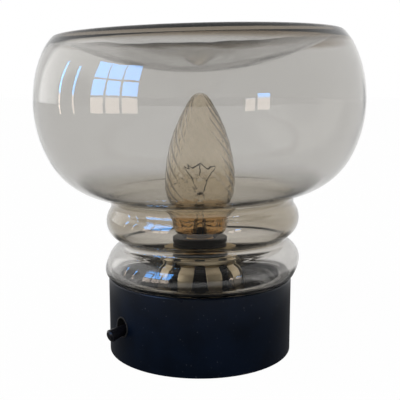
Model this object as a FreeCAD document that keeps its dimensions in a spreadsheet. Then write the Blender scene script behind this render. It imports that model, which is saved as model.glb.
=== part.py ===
import FreeCAD, Part
import math
import os
import re
import Sketcher

# Globe table lamp: a closed, dished globe of smoked glass with two ring bulges stands over a spring
# crown on a short round base. The base holds a lever switch, a terminal block and its leads, and
# carries a candle lampholder with a twisted candle bulb.
# Origin: centre of the underside, on the table. +Z is up, -Y is the front, the cord hole is at +Y.
# Millimetres and degrees.

V = FreeCAD.Vector
UPRIGHT = FreeCAD.Rotation()
ALONG_X = FreeCAD.Rotation(V(0, 1, 0), 90)
ALONG_Y = FreeCAD.Rotation(V(1, 0, 0), -90)

SIZES = {
    # Round base, bottom plate and felt
    "base_radius": 45.0,
    "base_height": 37.3,
    "base_wall": 2.2,
    "base_lift": 0.4,
    "rim_round": 0.8,
    "rim_height": 7.3,
    "floor_thickness": 1.6,
    "felt_thickness": 2.0,
    "plate_thickness": 1.2,
    "plate_gap": 0.5,
    "post_count": 3,
    "post_circle": 33.0,
    "post_bearing": 36.0,
    "post_radius": 3.5,
    "post_thread_depth": 8.0,
    "cover_screw_radius": 1.95,
    "cover_screw_length": 7.0,
    "screw_head_radius": 3.5,
    "screw_head_height": 1.6,
    "screw_slot_width": 0.9,
    "screw_slot_depth": 0.8,
    "thread_fit": 0.05,
    "loose_fit": 0.3,
    # Cord inlet
    "inlet_level": 11.0,
    "inlet_bore": 3.1,
    "grommet_neck_radius": 4.1,
    "grommet_flange_radius": 6.0,
    "grommet_flange": 1.6,
    "grommet_fit": 0.1,
    # Threaded nipple through the base's floor
    "nipple_radius": 4.95,
    "nipple_bore": 3.6,
    "nipple_hole_fit": 0.25,
    "nipple_drop": 6.0,
    "nipple_nut_flats": 14.0,
    "nipple_nut_height": 3.5,
    "washer_radius": 8.0,
    "washer_thickness": 0.8,
    # Lampholder
    "holder_radius": 14.0,
    "holder_seat_height": 16.8,
    "holder_bottom": 3.2,
    "chamber_height": 3.0,
    "chamber_radius": 11.6,
    "socket_radius": 12.5,
    "holder_rib_pitch": 2.0,
    "holder_rib_depth": 0.5,
    "holder_rib_count": 6,
    "shell_radius": 13.5,
    "shell_height": 8.0,
    "shell_mouth": 9.1,
    "shell_bore": 8.3,
    "shell_groove_depth": 0.5,
    "spigot_length": 5.3,
    "spigot_fit": 0.1,
    "core_thickness": 2.0,
    "core_fit": 0.2,
    "thread_pitch": 2.822,
    "thread_turns": 5,
    "screw_shell_radius": 7.05,
    "screw_shell_wave": 0.4,
    "brass_sheet": 0.3,
    "terminal_reach": 10.2,
    "terminal_height": 2.5,
    "terminal_width": 4.0,
    "terminal_inner": 1.2,
    "terminal_screw_radius": 1.2,
    "terminal_head_radius": 1.6,
    "terminal_head_height": 1.4,
    "tongue_width": 4.0,
    "tongue_thickness": 0.4,
    "tongue_rise": 0.8,
    "tongue_reach": 6.0,
    "rivet_reach": 4.6,
    "rivet_radius": 0.9,
    "rivet_head_radius": 1.5,
    "rivet_head_height": 0.5,
    # Spring crown that grips the glass
    "crown_sheet": 0.5,
    "crown_hole_fit": 0.2,
    "crown_flange_radius": 18.3,
    "crown_waist_radius": 16.9,
    "crown_waist_drop": 2.6,
    "crown_bulge_drop": 8.0,
    "crown_shoulder_radius": 20.2,
    "crown_shoulder_drop": 5.6,
    "crown_crimp_rise": 4.0,
    "crown_crimp_depth": 0.5,
    "crown_foot_gap": 0.3,
    "leaf_count": 9,
    "leaf_gap_top": 4.6,
    "leaf_gap_bottom": 9.2,
    # Glass globe
    "glass_wall": 1.5,
    "glass_hole_radius": 22.0,
    "glass_leaf_gap": 0.35,
    "gasket_thickness": 2.0,
    "gasket_inner_radius": 27.0,
    "gasket_inset": 1.5,
    "foot_gap": 2.8,
    "foot_round": 3.0,
    "foot_blend": 0.8,
    "rim_gap": 0.6,
    "ring_under_rise": 6.0,
    "ring_corner_round": 2.2,
    "lower_ring_overhang": 2.4,
    "lower_ring_round": 10.8,
    "upper_ring_overhang": 2.0,
    "upper_ring_round": 9.85,
    "ring_pitch": 21.8,
    "lower_pinch_spare": 1.2,
    "upper_pinch_round": 3.6,
    "bowl_rise": 56.2,
    "bowl_overhang": 33.2,
    "bowl_side_round": 57.0,
    "bowl_belly_round": 34.0,
    "bowl_belly_angle": 27.5,
    "bowl_under_round": 73.0,
    "bowl_under_angle": 66.0,
    "bowl_shoulder_round": 28.0,
    "bowl_shoulder_angle": 24.0,
    "fold_round": 3.2,
    "fold_fill_round": 8.5,
    "dish_rise": 15.3,
    "dish_round": 138.0,
    # Candle bulb
    "bulb_radius": 17.2,
    "bulb_height": 68.7,
    "bulb_widest_rise": 24.7,
    "bulb_ogive_round": 74.0,
    "bulb_flare_round": 45.0,
    "bulb_flare_angle": 11.0,
    "bulb_heel_radius": 12.9,
    "bulb_heel_round": 5.0,
    "bulb_heel_gap": 2.0,
    "bulb_wall": 0.8,
    "bulb_neck_radius": 5.6,
    "bulb_neck_length": 3.2,
    "cap_thread_radius": 6.95,
    "cap_thread_wave": 0.7,
    "cap_thread_turns": 4,
    "cap_flare_radius": 7.7,
    "cap_glass_gap": 0.1,
    "contact_gap": 0.3,
    "contact_radius": 2.4,
    "contact_height": 1.3,
    "insulator_height": 2.0,
    "stem_radius": 2.2,
    "stem_rod_radius": 1.2,
    "stem_press_rise": 16.7,
    "stem_top_rise": 26.7,
    "filament_rise": 6.5,
    "filament_half_span": 7.5,
    "filament_radius": 0.35,
    "support_radius": 0.2,
    # Lever switch: sizes along its own axis are counted from the lamp's axis
    "switch_bearing": 216.0,
    "switch_drop": 10.4,
    "switch_body_depth": 15.0,
    "switch_body_width": 13.0,
    "switch_body_height": 15.0,
    "switch_shell": 1.2,
    "switch_back_thickness": 1.8,
    "snout_radius": 4.9,
    "snout_mouth": 4.3,
    "snout_throat": 3.3,
    "snout_proud": 0.1,
    "snout_fit": 0.1,
    "bracket_thickness": 1.0,
    "bracket_tab": 10.0,
    "switch_nut_radius": 6.2,
    "switch_nut_thickness": 1.0,
    "wall_clearance": 0.6,
    "lever_tilt": 14.0,
    "lever_pivot_depth": 1.4,
    "lever_ball_radius": 2.6,
    "lever_root_radius": 1.7,
    "lever_tip_radius": 2.9,
    "lever_length": 8.5,
    "lever_chamfer": 0.9,
    "lever_arm_radius": 2.0,
    "lever_arm_length": 7.0,
    "lever_arm_bore": 1.25,
    "lever_arm_bore_depth": 5.0,
    "lever_pin_radius": 0.75,
    "plunger_fit": 0.1,
    "plunger_stroke_gap": 0.1,
    "plunger_head_length": 2.4,
    "rocker_thickness": 0.6,
    "rocker_half_length": 5.2,
    "rocker_width": 4.0,
    "rocker_tilt": 8.0,
    "rocker_gap": 0.1,
    "switch_terminal_thickness": 0.8,
    "switch_terminal_width": 3.6,
    "switch_terminal_length": 4.4,
    "fulcrum_length": 1.3,
    "end_contact_drop": 4.8,
    "end_contact_length": 0.45,
    # Terminal block
    "block_width": 16.0,
    "block_length": 18.0,
    "block_height": 11.8,
    "block_edge_gap": 12.3,
    "block_pole_half_pitch": 4.0,
    "block_bore_rise": 6.3,
    "insert_radius": 2.3,
    "insert_bore": 1.1,
    "insert_fit": 0.05,
    "clamp_screw_radius": 1.3,
    "clamp_screw_inset": 4.0,
    "clamp_screw_sink": 0.6,
    "mount_screw_radius": 1.5,
    "mount_screw_head_radius": 2.6,
    "mount_screw_head_height": 1.6,
    # Leads
    "lead_radius": 0.9,
    "lead_spread": 2.0,
    "lead_entry": 3.0,
    "lead_straight": 1.0,
    "lead_solder_gap": 0.2,
    "lead_arc_share": 0.45,
    "live_lead_front": 4.0,
    "live_lead_rise": 1.0,
    "live_lead_bend": 9.0,
}

doc = FreeCAD.newDocument("GlobeTableLamp")
sheet = doc.addObject("Spreadsheet::Sheet", "Sizes")
for row, (alias, size) in enumerate(SIZES.items(), start=1):
    sheet.set(f"A{row}", alias)
    sheet.set(f"B{row}", str(size))
    sheet.setAlias(f"B{row}", alias)
doc.recompute()

# Levels and places that several pieces share, as formulas of the sizes above
PLACES = {
    "base_bore": "(base_radius - base_wall)",
    "floor_level": "(base_height - rim_height)",
    "floor_under": "(floor_level - floor_thickness)",
    "switch_level": "(floor_under - switch_drop)",
    "plate_top": "(felt_thickness + plate_thickness)",
    "plate_radius": "(base_radius - base_wall - plate_gap)",
    "chamber_floor": "(floor_level + holder_bottom)",
    "core_under": "(chamber_floor + chamber_height)",
    "core_top": "(core_under + core_thickness)",
    "crown_seat": "(floor_level + holder_seat_height)",
    "shell_seat": "(crown_seat + crown_sheet)",
    "holder_top": "(shell_seat + shell_height)",
    "leaf_radius": "(glass_hole_radius - glass_leaf_gap)",
    "contact_under": "(core_top + tongue_thickness + tongue_rise + contact_gap)",
    "insulator_under": "(contact_under + contact_height)",
    "cap_under": "(insulator_under + insulator_height)",
    "bulb_heel_level": "(holder_top + bulb_heel_gap)",
    "bulb_top": "(bulb_heel_level + bulb_height)",
    "bulb_widest_level": "(bulb_heel_level + bulb_widest_rise)",
    "stem_press_level": "(bulb_heel_level + stem_press_rise)",
    "stem_top_level": "(bulb_heel_level + stem_top_rise)",
    "filament_level": "(stem_top_level + filament_rise)",
    "glass_under": "(floor_level + gasket_thickness)",
    "foot_radius": "(base_radius - base_wall - foot_gap)",
    "ring_underside": "(base_height + rim_gap)",
    "lower_ring_level": "(base_height + rim_gap + ring_under_rise)",
    "lower_ring_radius": "(base_radius + lower_ring_overhang)",
    "lower_pinch_round": "((ring_pitch - lower_ring_round - upper_ring_round) / 2 + lower_pinch_spare)",
    "upper_ring_level": "(lower_ring_level + ring_pitch)",
    "upper_ring_radius": "(base_radius + upper_ring_overhang)",
    "bowl_level": "(upper_ring_level + bowl_rise)",
    "bowl_radius": "(base_radius + bowl_overhang)",
    "dish_level": "(bowl_level + dish_rise)",
    "bracket_outer": "(base_bore - wall_clearance - switch_nut_thickness)",
    "switch_front": "(bracket_outer - bracket_thickness)",
    "switch_back": "(switch_front - switch_body_depth)",
    "lever_pivot": "(switch_front - lever_pivot_depth)",
    "rocker_plane": "(switch_back + fulcrum_length + rocker_gap + rocker_thickness / 2)",
    "block_front": "(plate_radius - block_edge_gap - block_length)",
    "block_bore_level": "(plate_top + block_bore_rise)",
}


def spelled(text):
    """A formula with every shared place written out, down to the sheet's sizes."""
    word = re.compile(r"[a-z_]+")
    while any(name in PLACES for name in word.findall(text)):
        text = word.sub(lambda found: PLACES.get(found.group(), found.group()), text)
    return text


def value(text):
    """The number that a formula of sizes comes to."""
    return float(sheet.evalExpression(spelled(text)))


def bind(item, key, text):
    """Tie a property of an object to the sheet."""
    linked = re.sub(r"[a-z_]+", lambda found: f"Sizes.{found.group()}" if found.group() in SIZES
                    else found.group(), spelled(text))
    item.setExpression(key, linked)


def place(item, at, turn):
    item.Placement = FreeCAD.Placement(V(*(value(text) for text in at)), turn)
    for axis, text in zip("xyz", at):
        bind(item, f"Placement.Base.{axis}", text)


def new_body(label):
    body = doc.addObject("PartDesign::Body", label)
    body.Label = label
    return body


def origin_part(body, role):
    return next(item for item in body.Origin.OriginFeatures if item.Role == role)


def new_sketch(body, name, plane="XZ_Plane"):
    sketch = body.newObject("Sketcher::SketchObject", name)
    sketch.AttachmentSupport = [(origin_part(body, plane), "")]
    sketch.MapMode = "FlatFace"
    return sketch


def pin_point(sketch, geometry, end, across, up):
    """Hold one end of a line or arc at a place given by two formulas."""
    for kind, axis, text in (("DistanceX", -2, across), ("DistanceY", -1, up)):
        if abs(value(text)) < 1e-9:
            sketch.addConstraint(Sketcher.Constraint("PointOnObject", geometry, end, axis))
        else:
            index = sketch.addConstraint(
                Sketcher.Constraint(kind, -1, 1, geometry, end, value(text)))
            bind(sketch, f"Constraints[{index}]", text)


def outline(body, name, corners, plane="XZ_Plane"):
    """A closed outline of straight lines through corners given by formulas."""
    sketch = new_sketch(body, name, plane)
    spots = [V(value(across), value(up), 0) for across, up in corners]
    for index, spot in enumerate(spots):
        sketch.addGeometry(Part.LineSegment(spot, spots[(index + 1) % len(spots)]), False)
    for index, (across, up) in enumerate(corners):
        following = (index + 1) % len(corners)
        sketch.addConstraint(Sketcher.Constraint("Coincident", index, 2, following, 1))
        pin_point(sketch, index, 1, across, up)
    return sketch


def revolve(body, sketch, name="turned", kind="Revolution", axis="V_Axis"):
    feature = body.newObject(f"PartDesign::{kind}", name)
    feature.Profile = sketch
    feature.ReferenceAxis = (sketch, [axis])
    feature.Angle = 360
    return feature


def turned(label, corners):
    """A body turned about the lamp's axis from one outline."""
    body = new_body(label)
    revolve(body, outline(body, "section", corners))
    return body


def pad(body, sketch, length, name="pad", midplane=True):
    feature = body.newObject("PartDesign::Pad", name)
    feature.Profile = sketch
    feature.Midplane = midplane
    bind(feature, "Length", length)
    return feature


def shape(body, kind, name, at=("0", "0", "0"), turn=UPRIGHT, **sizes):
    """A primitive that is added to or cut from a body."""
    feature = body.newObject(f"PartDesign::{kind}", name)
    place(feature, at, turn)
    for key, text in sizes.items():
        bind(feature, key, text)
    return feature


def spread(body, feature, count, name):
    """Repeat a feature round the lamp's axis."""
    pattern = body.newObject("PartDesign::PolarPattern", name)
    pattern.Originals = [feature]
    pattern.Axis = (origin_part(body, "Z_Axis"), [""])
    pattern.Angle = 360
    bind(pattern, "Occurrences", count)
    body.Tip = pattern
    return pattern


def solid(kind, name, at=("0", "0", "0"), turn=UPRIGHT, **sizes):
    """A free-standing primitive, for booleans and groups."""
    item = doc.addObject(f"Part::{kind}", name)
    place(item, at, turn)
    for key, text in sizes.items():
        bind(item, key, text)
    return item


def cut(name, base, tool):
    item = doc.addObject("Part::Cut", name)
    item.Base = base
    item.Tool = tool
    return item


def fuse(name, pieces):
    item = doc.addObject("Part::MultiFuse", name)
    item.Shapes = pieces
    return item


def group(label, pieces):
    """Identical loose pieces kept as one node."""
    item = doc.addObject("Part::Compound", label)
    item.Label = label
    item.Links = pieces
    return item


# Round base


def base_shell():
    """A drawn cup: rim, recessed floor with the nipple's hole, holes for the switch and the cord."""
    body = turned("base_shell", [
        ("base_bore", "base_lift"),
        ("base_radius", "base_lift"),
        ("base_radius", "base_height"),
        ("base_bore", "base_height"),
        ("base_bore", "floor_level"),
        ("nipple_radius + nipple_hole_fit", "floor_level"),
        ("nipple_radius + nipple_hole_fit", "floor_under"),
        ("base_bore", "floor_under"),
    ])
    doc.recompute()
    cup = body.Tip
    rim = [f"Edge{index}" for index, edge in enumerate(cup.Shape.Edges, start=1)
           if all(abs(vertex.Z - value("base_height")) < 1e-6 for vertex in edge.Vertexes)]
    rounding = body.newObject("PartDesign::Fillet", "rim_rounding")
    rounding.Base = (cup, rim)
    bind(rounding, "Radius", "rim_round")
    shape(body, "SubtractiveCylinder", "cord_hole", ("0", "base_bore - 3", "inlet_level"),
          ALONG_Y, Radius="grommet_neck_radius + grommet_fit", Height="base_wall + 6")
    bearing = FreeCAD.Rotation(V(0, 0, 1), value("switch_bearing"))
    shape(body, "SubtractiveCylinder", "switch_hole", ("0", "0", "switch_level"),
          bearing * ALONG_X, Radius="snout_radius + snout_fit", Height="base_radius + 3")
    return body


def bottom_plate():
    """Steel disc under the posts, with holes for the cover screws and the block's screw."""
    body = turned("bottom_plate", [
        ("0", "felt_thickness"),
        ("plate_radius", "felt_thickness"),
        ("plate_radius", "plate_top"),
        ("0", "plate_top"),
    ])
    hole = shape(body, "SubtractiveCylinder", "screw_hole",
                 ("post_circle * cos(post_bearing)", "post_circle * sin(post_bearing)",
                  "felt_thickness - 1"),
                 Radius="cover_screw_radius + thread_fit", Height="plate_thickness + 2")
    spread(body, hole, "post_count", "screw_holes")
    shape(body, "SubtractiveCylinder", "block_hole",
          ("0", "block_front + block_length / 2", "felt_thickness - 1"),
          Radius="mount_screw_radius + thread_fit", Height="plate_thickness + 2")
    return body


def felt_pad():
    """Felt disc on the plate's underside, cut away round the screw heads."""
    body = turned("felt_pad", [
        ("0", "0"),
        ("plate_radius", "0"),
        ("plate_radius", "felt_thickness"),
        ("0", "felt_thickness"),
    ])
    hole = shape(body, "SubtractiveCylinder", "head_hole",
                 ("post_circle * cos(post_bearing)", "post_circle * sin(post_bearing)", "-1"),
                 Radius="screw_head_radius + 2 * loose_fit", Height="felt_thickness + 2")
    spread(body, hole, "post_count", "head_holes")
    return body


def cover_posts():
    """Threaded posts that hang from the base's floor down to the plate."""
    posts = []
    for index in range(int(value("post_count"))):
        blank = solid("Cylinder", f"post_blank_{index}", ("post_circle", "0", "plate_top"),
                      Radius="post_radius", Height="floor_under - plate_top")
        bore = solid("Cylinder", f"post_bore_{index}", ("post_circle", "0", "plate_top"),
                     Radius="cover_screw_radius + thread_fit", Height="post_thread_depth")
        post = cut(f"post_{index}", blank, bore)
        bind(post, "Placement.Rotation.Angle", f"post_bearing + {index} * 360 / post_count")
        posts.append(post)
    return group("cover_posts", posts)


def cover_screws():
    """Slotted screws that hold the plate to the posts, their heads within the felt."""
    screws = []
    for index in range(int(value("post_count"))):
        head = solid("Cylinder", f"cover_head_{index}",
                     ("post_circle", "0", "felt_thickness - screw_head_height"),
                     Radius="screw_head_radius", Height="screw_head_height")
        shank = solid("Cylinder", f"cover_shank_{index}",
                      ("post_circle", "0", "felt_thickness - screw_head_height / 2"),
                      Radius="cover_screw_radius",
                      Height="cover_screw_length + screw_head_height / 2")
        slot = solid("Box", f"cover_slot_{index}",
                     ("post_circle - screw_head_radius - 1", "-screw_slot_width / 2",
                      "felt_thickness - screw_head_height - 1"),
                     Length="2 * screw_head_radius + 2", Width="screw_slot_width",
                     Height="screw_slot_depth + 1")
        screw = cut(f"cover_screw_{index}", fuse(f"cover_blank_{index}", [head, shank]), slot)
        bind(screw, "Placement.Rotation.Angle", f"post_bearing + {index} * 360 / post_count")
        screws.append(screw)
    return group("cover_screws", screws)


def cable_grommet():
    """Rubber grommet snapped into the wall, its flanges shaped to the wall's two faces."""
    middle = ("0", "base_bore - grommet_flange - grommet_fit", "inlet_level")
    span = "base_wall + 2 * grommet_flange + 2 * grommet_fit"
    blank = solid("Cylinder", "grommet_blank", middle, ALONG_Y,
                  Radius="grommet_flange_radius", Height=span)
    outside = solid("Cylinder", "grommet_outside", Radius="base_radius + grommet_fit",
                    Height="base_height")
    inside = solid("Cylinder", "grommet_inside", Radius="base_bore - grommet_fit",
                   Height="base_height")
    groove = cut("grommet_groove", outside, inside)
    flanges = cut("grommet_flanges", blank, groove)
    neck = solid("Cylinder", "grommet_neck", middle, ALONG_Y,
                 Radius="grommet_neck_radius", Height=span)
    bore = solid("Cylinder", "grommet_bore",
                 ("0", "base_bore - grommet_flange - 2", "inlet_level"), ALONG_Y,
                 Radius="inlet_bore", Height="base_wall + 2 * grommet_flange + 4")
    grommet = cut("cable_grommet", fuse("grommet_whole", [flanges, neck]), bore)
    grommet.Label = "cable_grommet"
    return grommet


# Nipple that ties the lampholder to the base


def nipple_parts():
    tube = turned("threaded_nipple", [
        ("nipple_bore", "floor_under - nipple_drop"),
        ("nipple_radius", "floor_under - nipple_drop"),
        ("nipple_radius", "chamber_floor"),
        ("nipple_bore", "chamber_floor"),
    ])
    washer = turned("nipple_washer", [
        ("nipple_radius + thread_fit", "floor_under - washer_thickness"),
        ("washer_radius", "floor_under - washer_thickness"),
        ("washer_radius", "floor_under"),
        ("nipple_radius + thread_fit", "floor_under"),
    ])
    blank = solid("Prism", "nut_blank",
                  ("0", "0", "floor_under - washer_thickness - nipple_nut_height"),
                  Circumradius="nipple_nut_flats / 2 / cos(30)", Height="nipple_nut_height")
    blank.Polygon = 6
    bore = solid("Cylinder", "nut_bore",
                 ("0", "0", "floor_under - washer_thickness - nipple_nut_height - 1"),
                 Radius="nipple_radius + thread_fit", Height="nipple_nut_height + 2")
    nut = cut("nipple_nut", blank, bore)
    nut.Label = "nipple_nut"
    return [tube, washer, nut]


# Lampholder


def holder_base():
    """Lower half of the lampholder: a ribbed cup with the nipple's thread in its bottom."""
    ribs = [("holder_radius", "floor_level")]
    first = "floor_level + 2 * holder_rib_pitch"
    for index in range(int(value("holder_rib_count"))):
        level = f"{first} + {index} * holder_rib_pitch"
        ribs += [
            ("holder_radius", level),
            ("holder_radius - holder_rib_depth", f"{level} + holder_rib_pitch / 4"),
            ("holder_radius - holder_rib_depth", f"{level} + holder_rib_pitch / 2"),
            ("holder_radius", f"{level} + 3 * holder_rib_pitch / 4"),
        ]
    return turned("holder_base", [("nipple_radius + thread_fit", "floor_level")] + ribs + [
        ("holder_radius", "crown_seat"),
        ("socket_radius", "crown_seat"),
        ("socket_radius", "core_under"),
        ("chamber_radius", "core_under"),
        ("chamber_radius", "chamber_floor"),
        ("nipple_radius + thread_fit", "chamber_floor"),
    ])


def holder_shell():
    """Upper half of the lampholder: it screws into the base and clamps the spring crown."""
    groove = "shell_seat + shell_height / 3"
    return turned("holder_shell", [
        ("shell_bore", "shell_seat - spigot_length"),
        ("socket_radius - spigot_fit", "shell_seat - spigot_length"),
        ("socket_radius - spigot_fit", "shell_seat"),
        ("shell_radius", "shell_seat"),
        ("shell_radius", groove),
        ("shell_radius - shell_groove_depth", f"{groove} + shell_groove_depth"),
        ("shell_radius - shell_groove_depth", f"{groove} + 3 * shell_groove_depth"),
        ("shell_radius", f"{groove} + 4 * shell_groove_depth"),
        ("shell_radius", "holder_top - shell_groove_depth"),
        ("shell_radius - shell_groove_depth", "holder_top"),
        ("shell_mouth", "holder_top"),
        ("shell_bore", "holder_top - (shell_mouth - shell_bore)"),
    ])


def contact_core():
    """Insulating disc that carries the contacts."""
    body = turned("contact_core", [
        ("0", "core_under"),
        ("socket_radius - core_fit", "core_under"),
        ("socket_radius - core_fit", "core_top"),
        ("0", "core_top"),
    ])
    for side in (1, -1):
        shape(body, "SubtractiveCylinder", f"screw_hole_{'left' if side < 0 else 'right'}",
              (f"{side} * terminal_reach", "0", "core_under - 1"),
              Radius="terminal_screw_radius + thread_fit", Height="core_thickness + 2")
    shape(body, "SubtractiveCylinder", "rivet_hole", ("-rivet_reach", "0", "core_under - 1"),
          Radius="rivet_radius + thread_fit", Height="core_thickness + 2")
    return body


def waves(start, turns, crest, wave, out, rising):
    """Corners of a pressed round thread along one face of a sheet."""
    corners = []
    for index in range(turns):
        low = f"{start} + {index} * thread_pitch"
        corners += [
            (f"{crest} + {out}", low),
            (f"{crest} + {wave} + {out}", f"{low} + thread_pitch / 3"),
            (f"{crest} + {wave} + {out}", f"{low} + 2 * thread_pitch / 3"),
        ]
    corners.append((f"{crest} + {out}", f"{start} + {turns} * thread_pitch"))
    return corners if rising else corners[::-1]


def screw_shell():
    """Brass thread sleeve of the lampholder, with its foot flange and a lug under one screw."""
    turns = int(value("thread_turns"))
    start = "core_top + brass_sheet + thread_pitch / 4"
    outer = waves(start, turns, "screw_shell_radius", "screw_shell_wave", "brass_sheet", True)
    inner = waves(start, turns, "screw_shell_radius", "screw_shell_wave", "0", False)
    body = turned("screw_shell", [
        ("screw_shell_radius", "core_top"),
        ("shell_bore - spigot_fit", "core_top"),
        ("shell_bore - spigot_fit", "core_top + brass_sheet"),
        ("screw_shell_radius + brass_sheet", "core_top + brass_sheet"),
    ] + outer + inner)
    shape(body, "AdditiveBox", "lug",
          ("screw_shell_radius + brass_sheet / 2", "-terminal_width / 2", "core_top"),
          Length="terminal_reach + terminal_head_radius - screw_shell_radius - brass_sheet",
          Width="terminal_width", Height="brass_sheet")
    shape(body, "SubtractiveCylinder", "lug_hole", ("terminal_reach", "0", "core_top - 1"),
          Radius="terminal_screw_radius + thread_fit", Height="brass_sheet + 2")
    return body


def contact_tongue():
    """Bent spring strip that presses against the bulb's tip."""
    rise = "core_top + tongue_rise"
    body = new_body("contact_tongue")
    pad(body, outline(body, "bend", [
        ("-tongue_reach", "core_top"),
        ("-rivet_reach + rivet_head_radius", "core_top"),
        ("-contact_radius / 2", rise),
        ("contact_radius", rise),
        ("contact_radius", f"{rise} + tongue_thickness"),
        ("-contact_radius / 2 - tongue_thickness / 2", f"{rise} + tongue_thickness"),
        ("-rivet_reach + rivet_head_radius - tongue_thickness / 2", "core_top + tongue_thickness"),
        ("-tongue_reach", "core_top + tongue_thickness"),
    ]), "tongue_width")
    shape(body, "SubtractiveCylinder", "rivet_hole", ("-rivet_reach", "0", "core_top - 1"),
          Radius="rivet_radius + thread_fit", Height="tongue_thickness + 2")
    return body


def contact_rivet():
    """Rivet that ties the tongue to its terminal through the core."""
    body = new_body("contact_rivet")
    shape(body, "AdditiveCylinder", "shank",
          ("-rivet_reach", "0", "core_under - terminal_height"),
          Radius="rivet_radius",
          Height="terminal_height + core_thickness + tongue_thickness + rivet_head_height / 2")
    shape(body, "AdditiveCylinder", "head", ("-rivet_reach", "0", "core_top + tongue_thickness"),
          Radius="rivet_head_radius", Height="rivet_head_height")
    return body


def holder_terminals():
    """Two brass terminals on the core's underside, in the wiring chamber."""
    length = "chamber_radius - loose_fit - terminal_inner"
    blocks = []
    for side, name in ((-1, "centre"), (1, "shell")):
        start = "-chamber_radius + loose_fit" if side < 0 else "terminal_inner"
        block = solid("Box", f"terminal_{name}",
                      (start, "-terminal_width / 2", "core_under - terminal_height"),
                      Length=length, Width="terminal_width", Height="terminal_height")
        bore = solid("Cylinder", f"terminal_{name}_bore",
                     (f"{side} * terminal_reach", "0", "core_under - terminal_height - 1"),
                     Radius="terminal_screw_radius + thread_fit", Height="terminal_height + 2")
        block = cut(f"terminal_{name}_drilled", block, bore)
        if side < 0:
            hole = solid("Cylinder", f"terminal_{name}_rivet",
                         ("-rivet_reach", "0", "core_under - terminal_height - 1"),
                         Radius="rivet_radius + thread_fit", Height="terminal_height + 2")
            block = cut(f"terminal_{name}_riveted", block, hole)
        blocks.append(block)
    return group("holder_terminals", blocks)


def holder_terminal_screws():
    screws = []
    for side, name, seat in ((-1, "centre", "core_top"), (1, "shell", "core_top + brass_sheet")):
        head = solid("Cylinder", f"terminal_screw_head_{name}",
                     (f"{side} * terminal_reach", "0", seat),
                     Radius="terminal_head_radius", Height="terminal_head_height")
        shank = solid("Cylinder", f"terminal_screw_shank_{name}",
                      (f"{side} * terminal_reach", "0", "core_under - terminal_height"),
                      Radius="terminal_screw_radius",
                      Height=f"{seat} + terminal_head_height / 2 - core_under + terminal_height")
        screws.append(fuse(f"terminal_screw_{name}", [head, shank]))
    return group("holder_terminal_screws", screws)


def spring_crown():
    """One brass stamping: a ring clamped in the lampholder and leaves that bell out."""
    seat = "crown_seat"
    outer = [
        ("crown_flange_radius", f"{seat} + crown_sheet"),
        ("crown_flange_radius", f"{seat} - crown_sheet"),
        ("crown_waist_radius", f"{seat} - crown_waist_drop"),
        ("crown_shoulder_radius", f"{seat} - crown_shoulder_drop"),
        ("leaf_radius", f"{seat} - crown_bulge_drop"),
        ("leaf_radius", "floor_level + crown_crimp_rise + crown_crimp_depth"),
        ("leaf_radius - crown_crimp_depth", "floor_level + crown_crimp_rise"),
        ("leaf_radius", "floor_level + crown_foot_gap"),
    ]
    inner = [(f"{across} - crown_sheet", up) for across, up in outer[:0:-1]]
    inner[-1] = ("crown_flange_radius - crown_sheet", f"{seat} - crown_sheet")
    body = turned("spring_crown", outer + inner + [
        ("crown_flange_radius - 2 * crown_sheet", seat),
        ("socket_radius + crown_hole_fit", seat),
        ("socket_radius + crown_hole_fit", f"{seat} + crown_sheet"),
    ])
    slot = body.newObject("PartDesign::Pocket", "slot")
    slot.Reversed = True
    slot.Profile = outline(body, "slot_outline", [
        ("-leaf_gap_bottom / 2", "floor_level - 1"),
        ("leaf_gap_bottom / 2", "floor_level - 1"),
        ("leaf_gap_top / 2", f"{seat} - 2 * crown_sheet"),
        ("-leaf_gap_top / 2", f"{seat} - 2 * crown_sheet"),
    ])
    bind(slot, "Length", "leaf_radius + 1")
    spread(body, slot, "leaf_count", "slots")
    return body


# Glass globe


def meeting(centre_one, reach_one, centre_two, reach_two):
    """Of two circles' crossings, the one on the right of the line from the first to the second."""
    gap = centre_two - centre_one
    along = (reach_one ** 2 - reach_two ** 2 + gap.Length ** 2) / (2 * gap.Length)
    aside = math.sqrt(reach_one ** 2 - along ** 2)
    forward = gap / gap.Length
    return centre_one + forward * along + V(forward.y, -forward.x, 0) * aside


def toward(centre, reach, other):
    """The point of a circle that faces another point."""
    return centre + (other - centre).normalize() * reach


def polar(centre, reach, degrees):
    turn = math.radians(degrees)
    return centre + V(math.cos(turn), math.sin(turn), 0) * reach


def curve(start, end, centre, reach):
    """The shorter arc between two points of a circle, run counter-clockwise."""
    middle = toward(centre, reach, (start + end) / 2)
    if (start - centre).cross(end - centre).z < 0:
        start, end = end, start
    return Part.Arc(start, middle, end)


def end_near(geometry, spot):
    """Which end of a line or arc, 1 or 2, lies at a spot."""
    return 1 if (V(geometry.StartPoint) - spot).Length < (V(geometry.EndPoint) - spot).Length else 2


def curved_outline(body, name, pieces):
    """A closed outline of lines and arcs; each piece is (start, geometry, its radius or None)."""
    sketch = new_sketch(body, name)
    for _, geometry, _ in pieces:
        sketch.addGeometry(geometry, False)
    for index, (start, _, radius) in enumerate(pieces):
        own = end_near(sketch.Geometry[index], start)
        before = index - 1 if index else len(pieces) - 1
        sketch.addConstraint(Sketcher.Constraint(
            "Coincident", before, end_near(sketch.Geometry[before], start), index, own))
        for kind, axis, reach in (("DistanceX", -2, start.x), ("DistanceY", -1, start.y)):
            if abs(reach) < 1e-9:
                sketch.addConstraint(Sketcher.Constraint("PointOnObject", index, own, axis))
            else:
                sketch.addConstraint(Sketcher.Constraint(kind, -1, 1, index, own, reach))
        if radius:
            number = sketch.addConstraint(
                Sketcher.Constraint("Radius", index, sketch.Geometry[index].Radius))
            bind(sketch, f"Constraints[{number}]", radius)
    return sketch


def line(start, end):
    return Part.LineSegment(start, end)


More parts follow.
